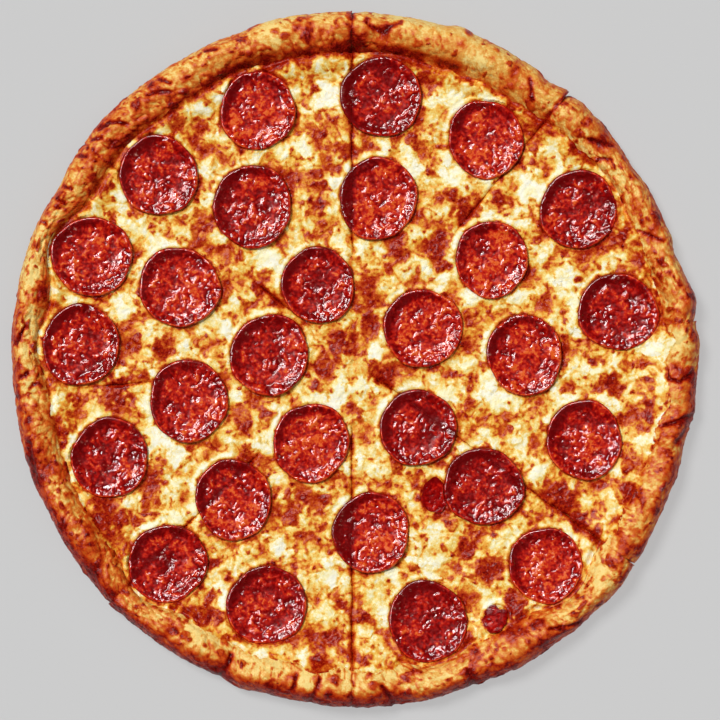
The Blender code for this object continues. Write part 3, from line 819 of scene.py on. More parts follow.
class Finish:
    """A material being built: one shader, and the nodes that feed it."""

    def __init__(self, name, constants):
        self.material = bpy.data.materials.new(name)
        self.material.use_nodes = True
        self.tree = self.material.node_tree
        self.shader = self.tree.nodes["Principled BSDF"]
        for socket, value in constants.items():
            self.shader.inputs[socket].default_value = value
        self.place = self.node("ShaderNodeTexCoord").outputs["Object"]

    def node(self, kind, settings=None, inputs=None):
        """Add a node: its settings first, then the values or links of its sockets."""
        made = self.tree.nodes.new(kind)
        for name, value in (settings or {}).items():
            if name == "stops":
                self.set_stops(made.color_ramp, value)
            else:
                setattr(made, name, value)
        for name, value in (inputs or {}).items():
            self.feed(made.inputs[name], value)
        return made

    def set_stops(self, ramp, stops):
        """Fill a colour ramp."""
        while len(ramp.elements) < len(stops):
            ramp.elements.new(0.5)
        for element, (position, colour) in zip(ramp.elements, stops):
            element.position = position
            element.color = (*colour, 1.0)

    def feed(self, socket, value):
        """Link a wire or a socket to a socket, or set its value."""
        if isinstance(value, Wire):
            self.tree.links.new(value.socket, socket)
        elif isinstance(value, bpy.types.NodeSocket):
            self.tree.links.new(value, socket)
        else:
            socket.default_value = value

    def attribute(self, name):
        """A number stored on the mesh's points."""
        node = self.node("ShaderNodeAttribute", {"attribute_type": "GEOMETRY", "attribute_name": name})
        return Wire(self, node.outputs["Fac"])

    def grain(self, size, detail=2.0, distortion=0.0):
        """Noise of a size in millimetres, from 0 to 1."""
        node = self.node(
            "ShaderNodeTexNoise",
            {"noise_dimensions": "3D"},
            {"Vector": self.place, "Scale": 1.0 / (size * MM), "Detail": detail, "Distortion": distortion},
        )
        return Wire(self, node.outputs["Fac"])

    def ramp(self, value, stops):
        """Colours along a number."""
        return self.node("ShaderNodeValToRGB", {"stops": stops}, {"Fac": value}).outputs["Color"]

    def mix(self, factor, first, second, blend="MIX"):
        """Blend two colours, or multiply the first by the second."""
        settings = {"data_type": "RGBA", "blend_type": blend}
        return self.node("ShaderNodeMix", settings, {0: factor, 6: first, 7: second}).outputs[2]

    def blots(self, size, gate, stir):
        """Soft round blots scattered over the surface, and the wider halo round each of them."""
        wave = self.node("ShaderNodeTexNoise", None, {"Vector": self.place, "Scale": 1.6 / (size * MM)})
        moved = self.node(
            "ShaderNodeVectorMath", {"operation": "MULTIPLY_ADD"},
            {0: wave.outputs["Color"], 1: (stir * MM, stir * MM, stir * MM), 2: self.place},
        )
        made = self.node(
            "ShaderNodeTexVoronoi", {"voronoi_dimensions": "2D"},
            {"Vector": moved.outputs["Vector"], "Scale": 1.0 / (size * MM)},
        )
        chance = Wire(self, made.outputs["Color"])
        radius = chance.between(gate, gate + 0.01, -0.5, 0.14) + chance.between(gate, 1.0) * 0.14
        inside = radius - Wire(self, made.outputs["Distance"])
        return inside.between(-0.06, 0.12), inside.between(-0.26, 0.06)

    def bump(self, height, depth):
        """Dents and bumps of a depth in millimetres."""
        return self.node("ShaderNodeBump", None, {"Height": height, "Distance": depth * MM}).outputs["Normal"]

    def set(self, socket, value):
        """Feed one socket of the shader."""
        self.feed(self.shader.inputs[socket], value)


# Settings


def colour_property(name, description, red, green, blue):
    """A colour that a user may change."""
    return FloatVectorProperty(
        name=name, description=description, size=3, min=0.0, max=1.0, subtype="COLOR",
        default=linear(red, green, blue),
    )


def length_property(name, description, default, least=0.0):
    """A length in millimetres that a user may change."""
    return FloatProperty(
        name=name, description=description, default=default * MM, min=least * MM, unit="LENGTH",
    )


class CrustSettings(PropertyGroup):
    """How the crust was baked."""

    spacing: length_property("Detail", "Distance between neighbouring points of the rim", 0.85, 0.3)
    blister: length_property("Blisters", "Height of the small blisters on the rim", 0.9)
    pale: colour_property("Pale", "Dough that stayed pale", 247, 216, 132)
    straw: colour_property("Straw", "Lightly baked dough", 237, 177, 82)
    golden: colour_property("Golden", "Well baked dough", 220, 118, 38)
    amber: colour_property("Amber", "Browned dough", 200, 66, 10)
    rust: colour_property("Rust", "Deeply browned dough", 150, 20, 4)
    burnt: colour_property("Burnt", "Burnt blisters", 78, 0, 0)
    crumb: colour_property("Crumb", "Bread where the knife went through", 236, 208, 150)


class CheeseSettings(PropertyGroup):
    """How the cheese melted."""

    spacing: length_property("Detail", "Distance between neighbouring points of the cheese", 0.7, 0.3)
    relief: length_property("Relief", "Height of the melted shreds over the hollows between them", 0.8)
    cream: colour_property("Cream", "Thick cheese that stayed pale", 253, 250, 228)
    butter: colour_property("Butter", "Soft yellow cheese", 248, 230, 165)
    yellow: colour_property("Yellow", "Yellow cheese", 243, 205, 108)
    golden: colour_property("Golden", "Lightly browned cheese", 234, 160, 52)
    amber: colour_property("Amber", "Thin cheese over sauce", 208, 92, 22)
    rust: colour_property("Rust", "Browned cheese", 168, 32, 6)
    scorched: colour_property("Scorched", "The darkest spots and sauce in the cuts", 112, 2, 1)


class PepperoniSettings(PropertyGroup):
    """How the pepperoni looks."""

    spacing: length_property("Detail", "Distance between neighbouring points of a pepperoni", 0.62, 0.3)
    bumps: length_property("Bumps", "Height of the bumps between the pits", 0.36)
    maroon: colour_property("Maroon", "The darkest meat", 110, 1, 3)
    crimson: colour_property("Crimson", "Dark meat", 130, 2, 3)
    red: colour_property("Red", "Most of the meat", 170, 12, 6)
    scarlet: colour_property("Scarlet", "Bright meat", 206, 40, 16)
    orange: colour_property("Orange", "Oily flecks and edges", 232, 100, 34)
    fat: colour_property("Fat", "Flecks of fat", 244, 190, 168)


class StageSettings(PropertyGroup):
    """Floor, lights and camera."""

    floor: colour_property("Floor", "The plain ground", 204, 204, 204)
    floor_glow: FloatProperty(
        name="Floor glow", description="Share of the ground's light that is its own",
        default=0.7, min=0.0, max=1.0,
    )
    camera_height: length_property("Camera height", "Height of the camera over the rim", 2500.0, 500.0)
    view_width: length_property(
        "View width", "Width that the camera sees at the rim", PHOTO_PIXELS * PHOTO_MM, 100.0,
    )
    key: FloatProperty(name="Key light", description="Strength of the main light", default=2.6, min=0.0)
    fill: FloatProperty(name="Fill light", description="Strength of the opposite light", default=0.5, min=0.0)
    glints: FloatProperty(
        name="Glints", description="Strength of the lights that only shine", default=2.0, min=0.0,
    )
    sky: FloatProperty(name="Sky", description="Strength of the light from all around", default=0.17, min=0.0)


# Crust


def rim_field(bearing, radius, along):
    """Pattern of the rim: how dark each point is, from browning and from painted shade at the foot of the
    rim, not yet ranked, and its fine relief from -1 to 1.
    """
    arc = bearing % 360.0 / 360.0 * RIM_ARC
    torn_arc, torn_along = bent(arc, along, ((1.8, 8.0), (0.6, 3.0)), 501, RIM_ARC)

    def even(size, seed):
        return ripple(arc, along, size, seed, RIM_ARC)

    def torn(size, seed):
        return ripple(torn_arc, torn_along, size, seed, RIM_ARC)

    zone = even(42.0, 505)
    clouds = torn(13.0, 506) + 0.7 * torn(6.0, 507)
    grit = torn(2.8, 508) + 0.7 * even(1.6, 509)
    wrinkle = hump(torn(9.0, 510), 0.09)
    cracks = hump(ripple(torn_arc, torn_along * 0.4, 5.5, 512, RIM_ARC), 0.09) * (even(14.0, 513) > 0.0)
    small, _ = spots(torn_arc, torn_along, 6.5, 531, 0.42, 0.5, 1.5, RIM_ARC)
    large, large_ring = spots(torn_arc, torn_along, 11.5, 534, 0.42, 1.3, 3.2, RIM_ARC)
    # The stretch between the second and third cut is smoother than the rest
    rough = 1.0 - 0.55 * hump_at(bearing, 70.0, 17.0)
    sauce_and_shade = hump_at(bearing, SAUCE_AND_SHADE_FOOT, SAUCE_AND_SHADE_HALF_TURN)
    # The inner foot of the rim drawn darker: oil and painted shade in the corner all round, less beside the
    # cheese's edge, and much more on the stretch at the top, where sauce dried and painted shade under the
    # rim falls
    inner = 0.1 + 0.25 * even(11.0, 514)
    inner = inner * smooth_step(RIM_FOOT + 16.0, RIM_FOOT + 6.0, radius)
    inner -= 0.3 * (1.0 - sauce_and_shade) * smooth_step(6.0, 0.5, radius - at_bearing(EDGE, bearing))
    streaky = np.clip(0.7 + 0.9 * even(8.0, 515), 0.1, 1.4)
    inner += 1.8 * sauce_and_shade * streaky * smooth_step(RIM_FOOT + 9.0, RIM_FOOT + 4.5, radius)
    # Painted shade: the inner side of the rim on the upper left, which faces away from the light, drawn
    # browner
    inner += 0.55 * hump_at(bearing, 150.0, 55.0) * smooth_step(RIM_FOOT + 12.0, RIM_FOOT + 6.0, radius)
    tone = rough * (0.4 * clouds + 0.5 * grit + 0.35 * wrinkle + 0.7 * cracks) - 0.3 * zone
    # The rim drawn darker or lighter by bearing, along its inner and its outer side
    bearings, *sides = zip(*RIM_DARKENING)
    darker_inside, darker_outside = (np.interp(bearing % 360.0, bearings, side) for side in sides)
    outside = smooth_step(RIM_REACH - 10.0, RIM_REACH - 3.0, radius)
    tone += darker_inside + (darker_outside - darker_inside) * outside
    outer = smooth_step(RIM_REACH - 10.0, RIM_REACH - 1.0, radius)
    tone += 0.5 * outer + inner + rough * (1.2 * small + 1.1 * large + 0.3 * hump(large_ring, 0.6))
    for at, depth in RIM_CREASES:
        lean = 2.4 * math.sin(at * 1.7)
        beside = angle_between(bearing, at + lean * (radius - RIM_RIDGE) / 12.0)
        tone += 0.35 * depth * hump(beside, 0.75) * smooth_step(RIM_FOOT + 6.0, RIM_FOOT + 12.0, radius)
    x, y = from_polar(radius, bearing)
    ragged = 1.0 + 0.35 * even(3.5, 521)
    for at, out, size, strength in RIM_PATCHES:
        patch_x, patch_y = from_polar(out, at)
        tone += strength * hump(np.hypot(x - patch_x, y - patch_y) * ragged, size)
    lift = 0.7 * clouds + 0.55 * grit - 0.5 * wrinkle - 0.5 * cracks + 0.8 * large + 0.5 * small
    frayed = 1.0 + 0.4 * even(2.6, 522)
    for half_width, strength, *corners in RIM_SPLITS:
        split = strength * hump(beside_line(x, y, corners) * frayed, half_width)
        tone += split
        lift -= 0.6 * split
    steady = 1.0 - 0.5 * smooth_step(RIM_REACH - 8.0, RIM_REACH - 2.0, radius)
    return tone, lift * (0.5 + 0.5 * rough) * steady


def crust_outline(index, section):
    """Columns of points round the section of one slice: rays from where its two cuts meet."""
    apex, middle, half_turn = slice_tip(index, CRUST_INSET)
    columns = round(2.0 * half_turn * RIM_REACH / section["step"])
    rays = middle + np.linspace(-half_turn, half_turn, columns + 1)
    return apex, np.stack([np.cos(rays), np.sin(rays)], axis=1)


def along_rays(apex, direction, radius):
    """Where the rays from the apex reach these distances from the middle of the pizza."""
    towards = (direction @ apex)[None, :]
    length = -towards + np.sqrt(np.maximum(towards ** 2 - apex @ apex + radius ** 2, 0.0))
    return apex[None, None, :] + direction[None, :, :] * length[:, :, None]


def crust_section(step):
    """Rings of the crust: over the flat top, over the rim, where its fine relief is, and back underneath."""
    radii, heights, along = smooth_section(step)
    inside = np.array((8.0, 40.0, 80.0, 120.0, 132.0))
    inside_along = inside - radii[0]
    under = np.array((168.0, 155.0, 120.0, 80.0, 40.0, 8.0))
    return {
        "step": step,
        "radius": np.concatenate([inside, radii, under]),
        "height": np.concatenate([np.full(inside.shape, BASE_THICKNESS), heights, np.zeros(under.shape)]),
        "along": np.concatenate([inside_along, along, along[-1] + radii[-1] - under]),
        "fine": np.concatenate([np.zeros(inside.shape), np.ones(radii.shape), np.zeros(under.shape)]),
        "end": along[-1],
    }


def crust_samples(section):
    """Sorted tones over the part of the rim that shows from above."""
    bearing, row = np.meshgrid(np.arange(0.0, 360.0, 0.5), np.arange(len(section["radius"])))
    radius, height, along = (section[key][row] for key in ("radius", "height", "along"))
    shown = (radius > RIM_FOOT + 3.0) & (height > RIM_HEIGHT * 0.42)
    return np.sort(rim_field(bearing[shown], radius[shown], along[shown])[0])


def crust_piece(index, section, samples, blister, finishes):
    """The crust of one slice."""
    reach = SLICE_REACHES[index]
    apex, direction = crust_outline(index, section)
    rows, columns = len(section["radius"]), len(direction)
    rings = (section[key][:, None] for key in ("radius", "height", "along"))
    round_radius, height, along = (np.repeat(ring, columns, axis=1) for ring in rings)
    flat = along_rays(apex, direction, round_radius)
    _, bearing = polar(flat[..., 0], flat[..., 1])
    new_radius = warp_radius(round_radius, bearing, reach)
    on_rim = (section["fine"] > 0.5)[:, None] & np.ones((1, columns), bool)
    lift = np.zeros(height.shape)
    lift[on_rim] = rim_relief(round_radius[on_rim], height[on_rim], bearing[on_rim])
    tone, fine = mark_cuts(*rim_field(bearing, round_radius, along), flat, bearing, index)
    # Fine relief stands square to the section, and dies away under the cheese and at the floor
    bare = smooth_step(-1.5, 1.5, new_radius - at_bearing(EDGE, bearing))
    fine = fine * blister * bare * section["fine"][:, None] * smooth_step(0.5, 4.0, height)
    run, rise = np.gradient(section["radius"]), np.gradient(section["height"])
    slope = np.hypot(run, rise) + 1e-9
    new_radius = new_radius - fine * (rise / slope)[:, None]
    heights = np.maximum(height + lift + fine * (run / slope)[:, None], 0.0)
    # One blister at the foot of the rim is burnt through
    hole_bearing, hole_radius, hole_width, hole_depth = BURNT_HOLE
    hole_x, hole_y = from_polar(hole_radius, hole_bearing)
    from_hole = np.hypot(flat[..., 0] - hole_x, flat[..., 1] - hole_y)
    heights = heights - hole_depth * hump(from_hole, hole_width) * on_rim * (height > RIM_HEIGHT / 4.0)
    heights = np.where(heights > CALM_HEIGHT, CALM_HEIGHT + 0.45 * (heights - CALM_HEIGHT), heights)
    # The crust gives way under the cheese and under the pepperoni that lean on it
    under_cheese = smooth_step(0.5, -2.0, new_radius - at_bearing(EDGE, bearing)) * (height > 5.0)
    heights = heights - seat_depth(heights, new_radius, bearing) - 0.15 * under_cheese
    flat = along_rays(apex, direction, new_radius)
    grid = np.concatenate([flat, heights[:, :, None]], axis=2).reshape(-1, 3)
    # The tip of the slice closes the rings above and below, and the last two faces are its cut sides
    top, bottom = len(grid), len(grid) + 1
    points = np.vstack([grid, [(*apex, BASE_THICKNESS), (*apex, 0.0)]])
    cell = (np.arange(rows - 1)[:, None] * columns + np.arange(columns - 1)[None, :]).ravel()
    faces = np.column_stack([cell, cell + columns, cell + columns + 1, cell + 1]).tolist()
    last = (rows - 1) * columns
    faces += [[top, c, c + 1] for c in range(columns - 1)]
    faces += [[bottom, last + c + 1, last + c] for c in range(columns - 1)]
    baked = len(faces)
    faces.append([top, bottom] + [r * columns for r in range(rows - 1, -1, -1)])
    faces.append([bottom, top] + [r * columns + columns - 1 for r in range(rows)])
    shade = np.append(ranked(tone, samples).ravel(), (0.5, 0.5))
    under = np.append((along > section["end"]).ravel().astype(float), (0.0, 1.0))
    attributes = {"tone": shade, "underside": under}
    return new_piece(f"baked_crust_{index + 1}", points, faces, finishes, attributes, [0] * baked + [1, 1])


def mark_cuts(tone, fine, flat, bearing, index):
    """Darken and lower the rim beside the two cuts of a slice, in uneven stretches: painted shade of the cut,
    and browning along it.
    """
    for angle in slice_angles(index):
        direction, square = cut_direction(angle)
        forward = (flat - CUTS_MEET) @ direction
        stray = 1.1 * cut_ripple(angle, forward, 9.0, 405) + 0.5 * cut_ripple(angle, forward, 3.0, 406)
        beside = (flat - CUTS_MEET) @ square - stray
        near = CUT_SHADE[angle] * (angle_between(bearing, angle) < 20.0)
        near = near * np.clip(0.9 + 0.8 * cut_ripple(angle, forward, 5.0, 407), 0.2, 1.4)
        # Painted shade of the cut, and browning along it
        tone = tone + near * (1.4 * hump(beside, 0.7) + 0.4 * hump(beside, 2.0))
        fine = fine - near * 0.5 * hump(beside, 1.2)
    return tone, fine


def seat_depth(heights, radius, bearing):
    """How far the crust gives way under a pepperoni that leans on it."""
    x, y = from_polar(radius, bearing)
    depth = np.zeros(heights.shape)
    for disc, near in discs_near(x, y, 4.0):
        near = near & (heights > 5.0)
        out, level = disc.over(x[near], y[near])
        room = level + disc.underside(out) - 0.2
        dip = np.maximum(heights[near] - room, 0.0) * smooth_step(1.06, 1.0, out)
        depth[near] = np.maximum(depth[near], dip)
    return depth


def crust_finish(look):
    """Baked dough."""
    finish = Finish("baked_dough", {"Roughness": 0.4, "Specular IOR Level": 0.12})
    tone, under = finish.attribute("tone"), finish.attribute("underside")
    flour, specks, pores = finish.grain(2.4, 3.0, 0.4), finish.grain(0.9, 2.0), finish.grain(0.5, 1.0)
    blister, scorch = finish.blots(5.5, 0.66, 4.0)
    browned = (blister * 0.5 + scorch * 0.12) * (1.0 - tone)
    shade = tone * 0.92 + (flour - 0.5) * 0.34 + (specks - 0.5) * 0.38 + browned
    stops = (
        (0.02, look.pale), (0.15, look.straw), (0.36, look.golden), (0.6, look.amber),
        (0.8, look.rust), (0.97, look.burnt),
    )
    baked = finish.ramp(shade, stops)
    patches = finish.grain(9.0, 3.0).between(0.35, 0.7)
    stops = ((0.2, look.straw), (0.5, look.golden), (0.85, look.rust))
    toasted = finish.ramp(patches * 0.6 + flour * 0.4, stops)
    finish.set("Base Color", finish.mix(under, baked, toasted))
    finish.set("Roughness", shade.between(0.0, 1.0, 0.42, 0.26))
    finish.set("Normal", finish.bump(flour * 0.4 + specks * 0.5 + pores * 0.1 + blister * 0.8, 0.5))
    return finish.material


def crumb_finish(look):
    """Bread inside the crust, where a knife went through."""
    finish = Finish("bread_crumb", {"Roughness": 0.85})
    holes = finish.grain(1.6, 3.0).between(0.3, 0.55)
    stops = ((0.0, look.golden), (0.6, look.crumb), (1.0, look.crumb))
    finish.set("Base Color", finish.ramp(holes, stops))
    finish.set("Normal", finish.bump(holes, 0.6))
    return finish.material


# Cheese


def cheese_field(x, y):
    """Pattern of the cheese: how dark each point is, from browning and sauce and from painted light and shade
    around the pepperoni, at the foot of the rim and in the cuts, not yet ranked, and its fine relief.
    """
    torn = bent(x, y, ((2.4, 9.0), (0.8, 3.4)), 601)
    shreds = ripple(*torn, 12.5, 605) + 0.6 * ripple(*torn, 6.0, 606)
    veins = hump(ripple(*torn, 9.0, 607), 0.10)
    threads = hump(ripple(*torn, 5.0, 608), 0.09)
    fine = ripple(*torn, 2.6, 609) + 0.7 * ripple(x, y, 1.5, 610)
    zone = ripple(x, y, 40.0, 611)
    large, large_ring = spots(*torn, 13.0, 612, 0.45, 1.4, 3.2)
    small, small_ring = spots(*torn, 6.0, 616, 0.33, 0.5, 1.3)
    tone = -0.9 * shreds + 0.35 * veins + 0.2 * threads - 0.2 * zone + 0.3 * fine
    tone += 0.6 * large + 0.35 * hump(large_ring, 0.6) + 0.4 * small + 0.25 * hump(small_ring, 0.5)
    lift = 0.7 * shreds - 0.35 * veins - 0.2 * threads + 0.35 * fine + 0.5 * large + 0.6 * small
    wobble = 1.0 + 0.45 * ripple(x, y, 4.5, 620)
    pieces = np.clip(0.85 + 1.0 * ripple(x, y, 3.6, 624) + 0.5 * ripple(x, y, 1.9, 625), 0.05, 1.6)
    for px, py, size, strength in CHEESE_PATCHES:
        at_x, at_y = (px - PHOTO_MIDDLE[0]) * PHOTO_MM, (PHOTO_MIDDLE[1] - py) * PHOTO_MM
        near = (np.abs(x - at_x) < 3.0 * size * PHOTO_MM) & (np.abs(y - at_y) < 3.0 * size * PHOTO_MM)
        away = np.hypot(x[near] - at_x, y[near] - at_y) * wobble[near]
        broken = pieces[near] if strength > 0 else 1.0
        tone[near] += 1.3 * strength * hump(away, 0.95 * size * PHOTO_MM) * broken
    for disc, near in discs_near(x, y, 8.0):
        out, _ = disc.over(x[near], y[near])
        past = (out - 1.0) * disc.mean
        # Around each pepperoni: painted light on the cheese on its lit side, painted shadow and some oil on
        # its shaded side, and a dark line of oil and painted contact shade at its edge
        towards = ((x[near] - disc.x) * LIGHT_FROM[0] + (y[near] - disc.y) * LIGHT_FROM[1]) / disc.mean
        lit, shaded = np.clip(towards, 0.0, 1.0), np.clip(-towards, 0.0, 1.0)
        ring = np.clip(0.5 + 1.2 * ripple(x[near], y[near], 6.0, 623), 0.0, 1.3)
        tone[near] += 0.5 * ring * hump(past - 0.1, 0.5) - 0.55 * lit * hump(past - 2.0, 1.5)
        tone[near] += 0.3 * shaded * hump(past - 1.2, 1.4)
        lift[near] += 0.55 * hump(past - 0.9, 0.8)
    radius, bearing = polar(x, y)
    inside = at_bearing(EDGE, bearing) - radius
    # Browner cheese near the rim's edge, and on the stretch at the top also dried sauce and painted shade
    # under the rim
    browned = 0.1 + 0.6 * ripple(x, y, 8.0, 621) + hump_at(bearing, SAUCE_AND_SHADE_FOOT, SAUCE_AND_SHADE_HALF_TURN)
    tone += browned * smooth_step(6.0, 0.5, inside)
    # Sauce and painted shade along the cuts where they stayed open, and a faint dark trace where they melted
    # shut
    for angle in SLICE_STARTS:
        along, beside = from_cut(x, y, angle)
        near = (np.abs(beside) < 4.0) & (along > 0.0)
        along, beside = along[near], beside[near]
        openness = cut_openness(angle, along)
        uneven = np.clip(0.8 + 0.7 * ripple(x[near], y[near], 5.0, 622), 0.0, 1.4)
        tone[near] += openness * uneven * (1.2 * hump(beside, 0.9) + 0.4 * hump(beside, 2.4))
        tone[near] += 0.18 * (1.0 - openness) * hump(beside, 0.8) * smooth_step(6.0, 20.0, along)
    return tone, lift


def cheese_samples():
    """Sorted tones over the cheese that shows."""
    x, y = hex_points((-RIM_MIDDLE, -RIM_MIDDLE), (RIM_MIDDLE, RIM_MIDDLE), 1.1)
    radius, bearing = polar(x, y)
    shown = radius < at_bearing(EDGE, bearing)
    for disc, near in discs_near(x, y, 2.0):
        shown[near] &= disc.over(x[near], y[near])[0] > 1.0
    return np.sort(cheese_field(x[shown], y[shown])[0])


def cheese_outline(index, spacing):
    """The edge of the cheese on one slice, counterclockwise from the middle of the pizza."""
    tip, _, _ = slice_tip(index, 2.5 * SHUT_HALF_WIDTH)
    sides = []
    for angle, side in zip(slice_angles(index), (1.0, -1.0)):
        direction, square = cut_direction(angle)
        along = np.arange(2.0, 175.0, spacing)
        width = cut_half_width(angle, along)
        stray = cut_wander(angle, along) + side * width
        line = CUTS_MEET + along[:, None] * direction + stray[:, None] * square
        radius, bearing = polar(line[:, 0], line[:, 1])
        sides.append(line[radius < at_bearing(EDGE, bearing) - 0.25 * spacing])
    _, first = polar(*sides[0][-1])
    _, last = polar(*sides[1][-1])
    span = (last - first) % 360.0
    steps = round(math.radians(span) * 160.0 / spacing)
    bearings = first + np.linspace(0.0, span, steps + 1)
    arc = np.stack(from_polar(at_bearing(EDGE, bearings), bearings), axis=1)
    return np.vstack([[tip], sides[0], arc, sides[1][::-1]])


def inside_slice(x, y, index, clear):
    """Which points lie on a slice, clear of its edge."""
    start, end = slice_angles(index)
    radius, bearing = polar(x, y)
    inside = radius < at_bearing(EDGE, bearing) - clear
    for angle, side in ((start, 1.0), (end, -1.0)):
        along, beside = from_cut(x, y, angle)
        inside &= side * beside > cut_half_width(angle, along) + clear
    start_turn = (bearing - start) % 360.0
    return inside & (start_turn < (end - start) % 360.0 + 20.0)


def cheese_piece(index, spacing, relief, samples, material):
    """The cheese on one slice."""
    reach = SLICE_REACHES[index]
    outline = cheese_outline(index, spacing)
    low, high = outline.min(axis=0), outline.max(axis=0)
    x, y = hex_points(low, high, spacing)
    keep = inside_slice(x, y, index, spacing * 0.6)
    fine = np.stack([x[keep], y[keep]], axis=1)
    cx, cy = hex_points(low, high, 7.0)
    coarse_keep = inside_slice(cx, cy, index, 2.5)
    coarse = np.stack([cx[coarse_keep], cy[coarse_keep]], axis=1)
    stored = {}

    def top(px, py):
        tone, lift = cheese_field(px, py)
        stored["tone"] = ranked(tone, samples)
        return cheese_surface(px, py, lift * relief, index, reach)

    def bottom(px, py):
        return crust_top(px, py, reach) - 0.3

    points, faces, count = slab(outline, fine, coarse, top, bottom)
    tone = np.concatenate([stored["tone"], np.full(len(points) - count, 0.8)])
    return new_piece(f"melted_cheese_{index + 1}", points, faces, [material], {"tone": tone})


def cheese_surface(x, y, lift, index, reach):
    """Height of the cheese with its relief, its seats under the pepperoni, and its soft edges."""
    radius, bearing = polar(x, y)
    inside = at_bearing(EDGE, bearing) - radius
    ground = crust_top(x, y, reach)
    film = ground + 0.1 + 0.9 * smooth_step(0.0, 7.0, inside)
    past = radius - at_bearing(FOOT, bearing)
    level = cheese_level(x, y) + CORNER_FILL * smooth_step(-14.0, -1.0, past) * smooth_step(9.0, 2.0, past)
    blend = 1.2
    height = blend * np.logaddexp(level / blend, film / blend) + lift
    edge = ground + 0.06
    height = edge + (height - edge) * smooth_step(-0.4, 4.0, inside)
    for angle in slice_angles(index):
        along, beside = from_cut(x, y, angle)
        openness = cut_openness(angle, along) * (along > 0.0)
        height -= openness * (1.5 * hump(beside, 0.9) + 0.4 * hump(beside, 2.6))
    for disc, near in discs_near(x, y, 3.0):
        out, under = disc.over(x[near], y[near])
        room = under + disc.underside(out) - 0.15
        height[near] = np.where(out < 1.03, np.minimum(height[near], room), height[near])
    return np.maximum(height, ground + 0.05)


def cheese_finish(look):
    """Melted cheese with sauce showing through."""
    finish = Finish("melted_cheese", {"Roughness": 0.4, "Specular IOR Level": 0.1})
    tone = finish.attribute("tone")
    curd, fleck = finish.grain(2.0, 3.0, 0.6), finish.grain(0.9, 2.0, 0.3)
    spot, halo = finish.blots(7.0, 0.5, 3.0)
    small_spot, small_halo = finish.blots(4.2, 0.66, 2.0)
    hollow = tone.between(0.04, 0.34)
    browned = (spot * 0.5 + halo * 0.22 + small_spot * 0.34 + small_halo * 0.2) * hollow
    shade = tone * 0.93 + (curd - 0.5) * 0.44 + (fleck - 0.5) * 0.38 + browned * (1.0 - tone)
    stops = (
        (0.02, look.cream), (0.16, look.butter), (0.3, look.yellow), (0.48, look.golden),
        (0.66, look.amber), (0.86, look.rust), (1.0, look.scorched),
    )
    melted = finish.ramp(shade, stops)
    buttery = finish.grain(7.0, 2.0, 0.5).between(0.42, 0.62)
    finish.set("Base Color", finish.mix(buttery * 0.5, melted, (1.0, 0.92, 0.5, 1.0), "MULTIPLY"))
    finish.set("Roughness", shade.between(0.45, 0.9, 0.45, 0.26))
    finish.set("Normal", finish.bump(curd * 0.6 + fleck * 0.4 + (spot + small_spot) * 0.7, 0.3))
    return finish.material


# Pepperoni


def meat_field(disc, u, v, out):
    """Pattern of a pepperoni: how bright each point is, not yet ranked, its fat, fine relief and oil."""
    shift = disc.number * 83.0
    x, y = u + shift, v - shift
    torn = bent(x, y, ((1.3, 6.0), (0.5, 2.5)), 701)
    broad = ripple(*torn, 11.0, 705)
    chunks = ripple(*torn, 4.6, 706)
    grit = ripple(*torn, 2.0, 707) + 0.6 * ripple(x, y, 1.3, 708)
    clusters = smooth_step(-0.15, 0.45, ripple(x, y, 9.0, 719))
    fat, _ = spots(*torn, 2.3, 709, 0.5, 0.1, 0.5)
    pits, _ = spots(*torn, 4.4, 713, 0.4, 0.4, 1.1)
    creases = hump(ripple(*torn, 5.5, 717), 0.10)
    fat = fat * clusters * smooth_step(1.0, 0.9, out)
    tone = 0.55 * broad + 0.6 * chunks + 0.75 * grit - 0.5 * pits - 0.45 * creases + 0.3 * fat
    tone += 0.25 * math.sin(2.4 * disc.number)
    # Painted shade on the inner wall of the cup all round
    tone -= 0.3 * smooth_step(0.72, 0.86, out) * smooth_step(0.96, 0.93, out)
    facing = (u * LIGHT_FROM[0] + v * LIGHT_FROM[1]) / disc.mean
    # Painted shade on the inner wall on the side towards the light, which faces away from it
    tone -= 0.8 * smooth_step(0.2, 0.8, facing) * smooth_step(0.62, 0.8, out)
    # Along the edge, unevenly: a lighter orange line on the crest, partly its crisp edge and partly painted
    # highlight, and a dark line at the very edge that is painted shadow
    edge_wobble = ripple(x, y, 7.0, 721)
    tone += (0.6 + edge_wobble) * hump(out - 0.968, 0.014)
    tone -= 0.9 * np.clip(0.5 + edge_wobble, 0.0, 1.0) * smooth_step(0.985, 1.0, out)
    oil = smooth_step(-0.05, 0.35, ripple(x, y, 9.0, 731) + 0.4 * ripple(x, y, 3.5, 732))
    oil = np.maximum(oil, smooth_step(0.1, 0.5, -facing) * smooth_step(0.66, 0.8, out))
    rough = 0.2 + 1.5 * oil
    lift = rough * (1.2 * chunks + 0.6 * grit - 0.6 * creases) - 0.5 * pits + 1.1 * broad
    return tone, np.clip(fat, 0.0, 1.0), lift, oil


def disc_top(disc, out, turn):
    """Height of a pepperoni's top over its flat underside, without the bumps."""
    uneven = 1.0 + 0.10 * np.sin(turn + 1.7 * disc.number) + 0.07 * np.sin(2.0 * turn + 0.9 * disc.number)
    rise = (0.4 * smooth_step(0.4, 0.95, out) + 0.6 * smooth_step(0.72, 0.955, out)) * disc.cup * uneven
    fall = smooth_step(0.96, 1.0, out) * disc.cup * 0.36
    return disc.thick + rise - fall


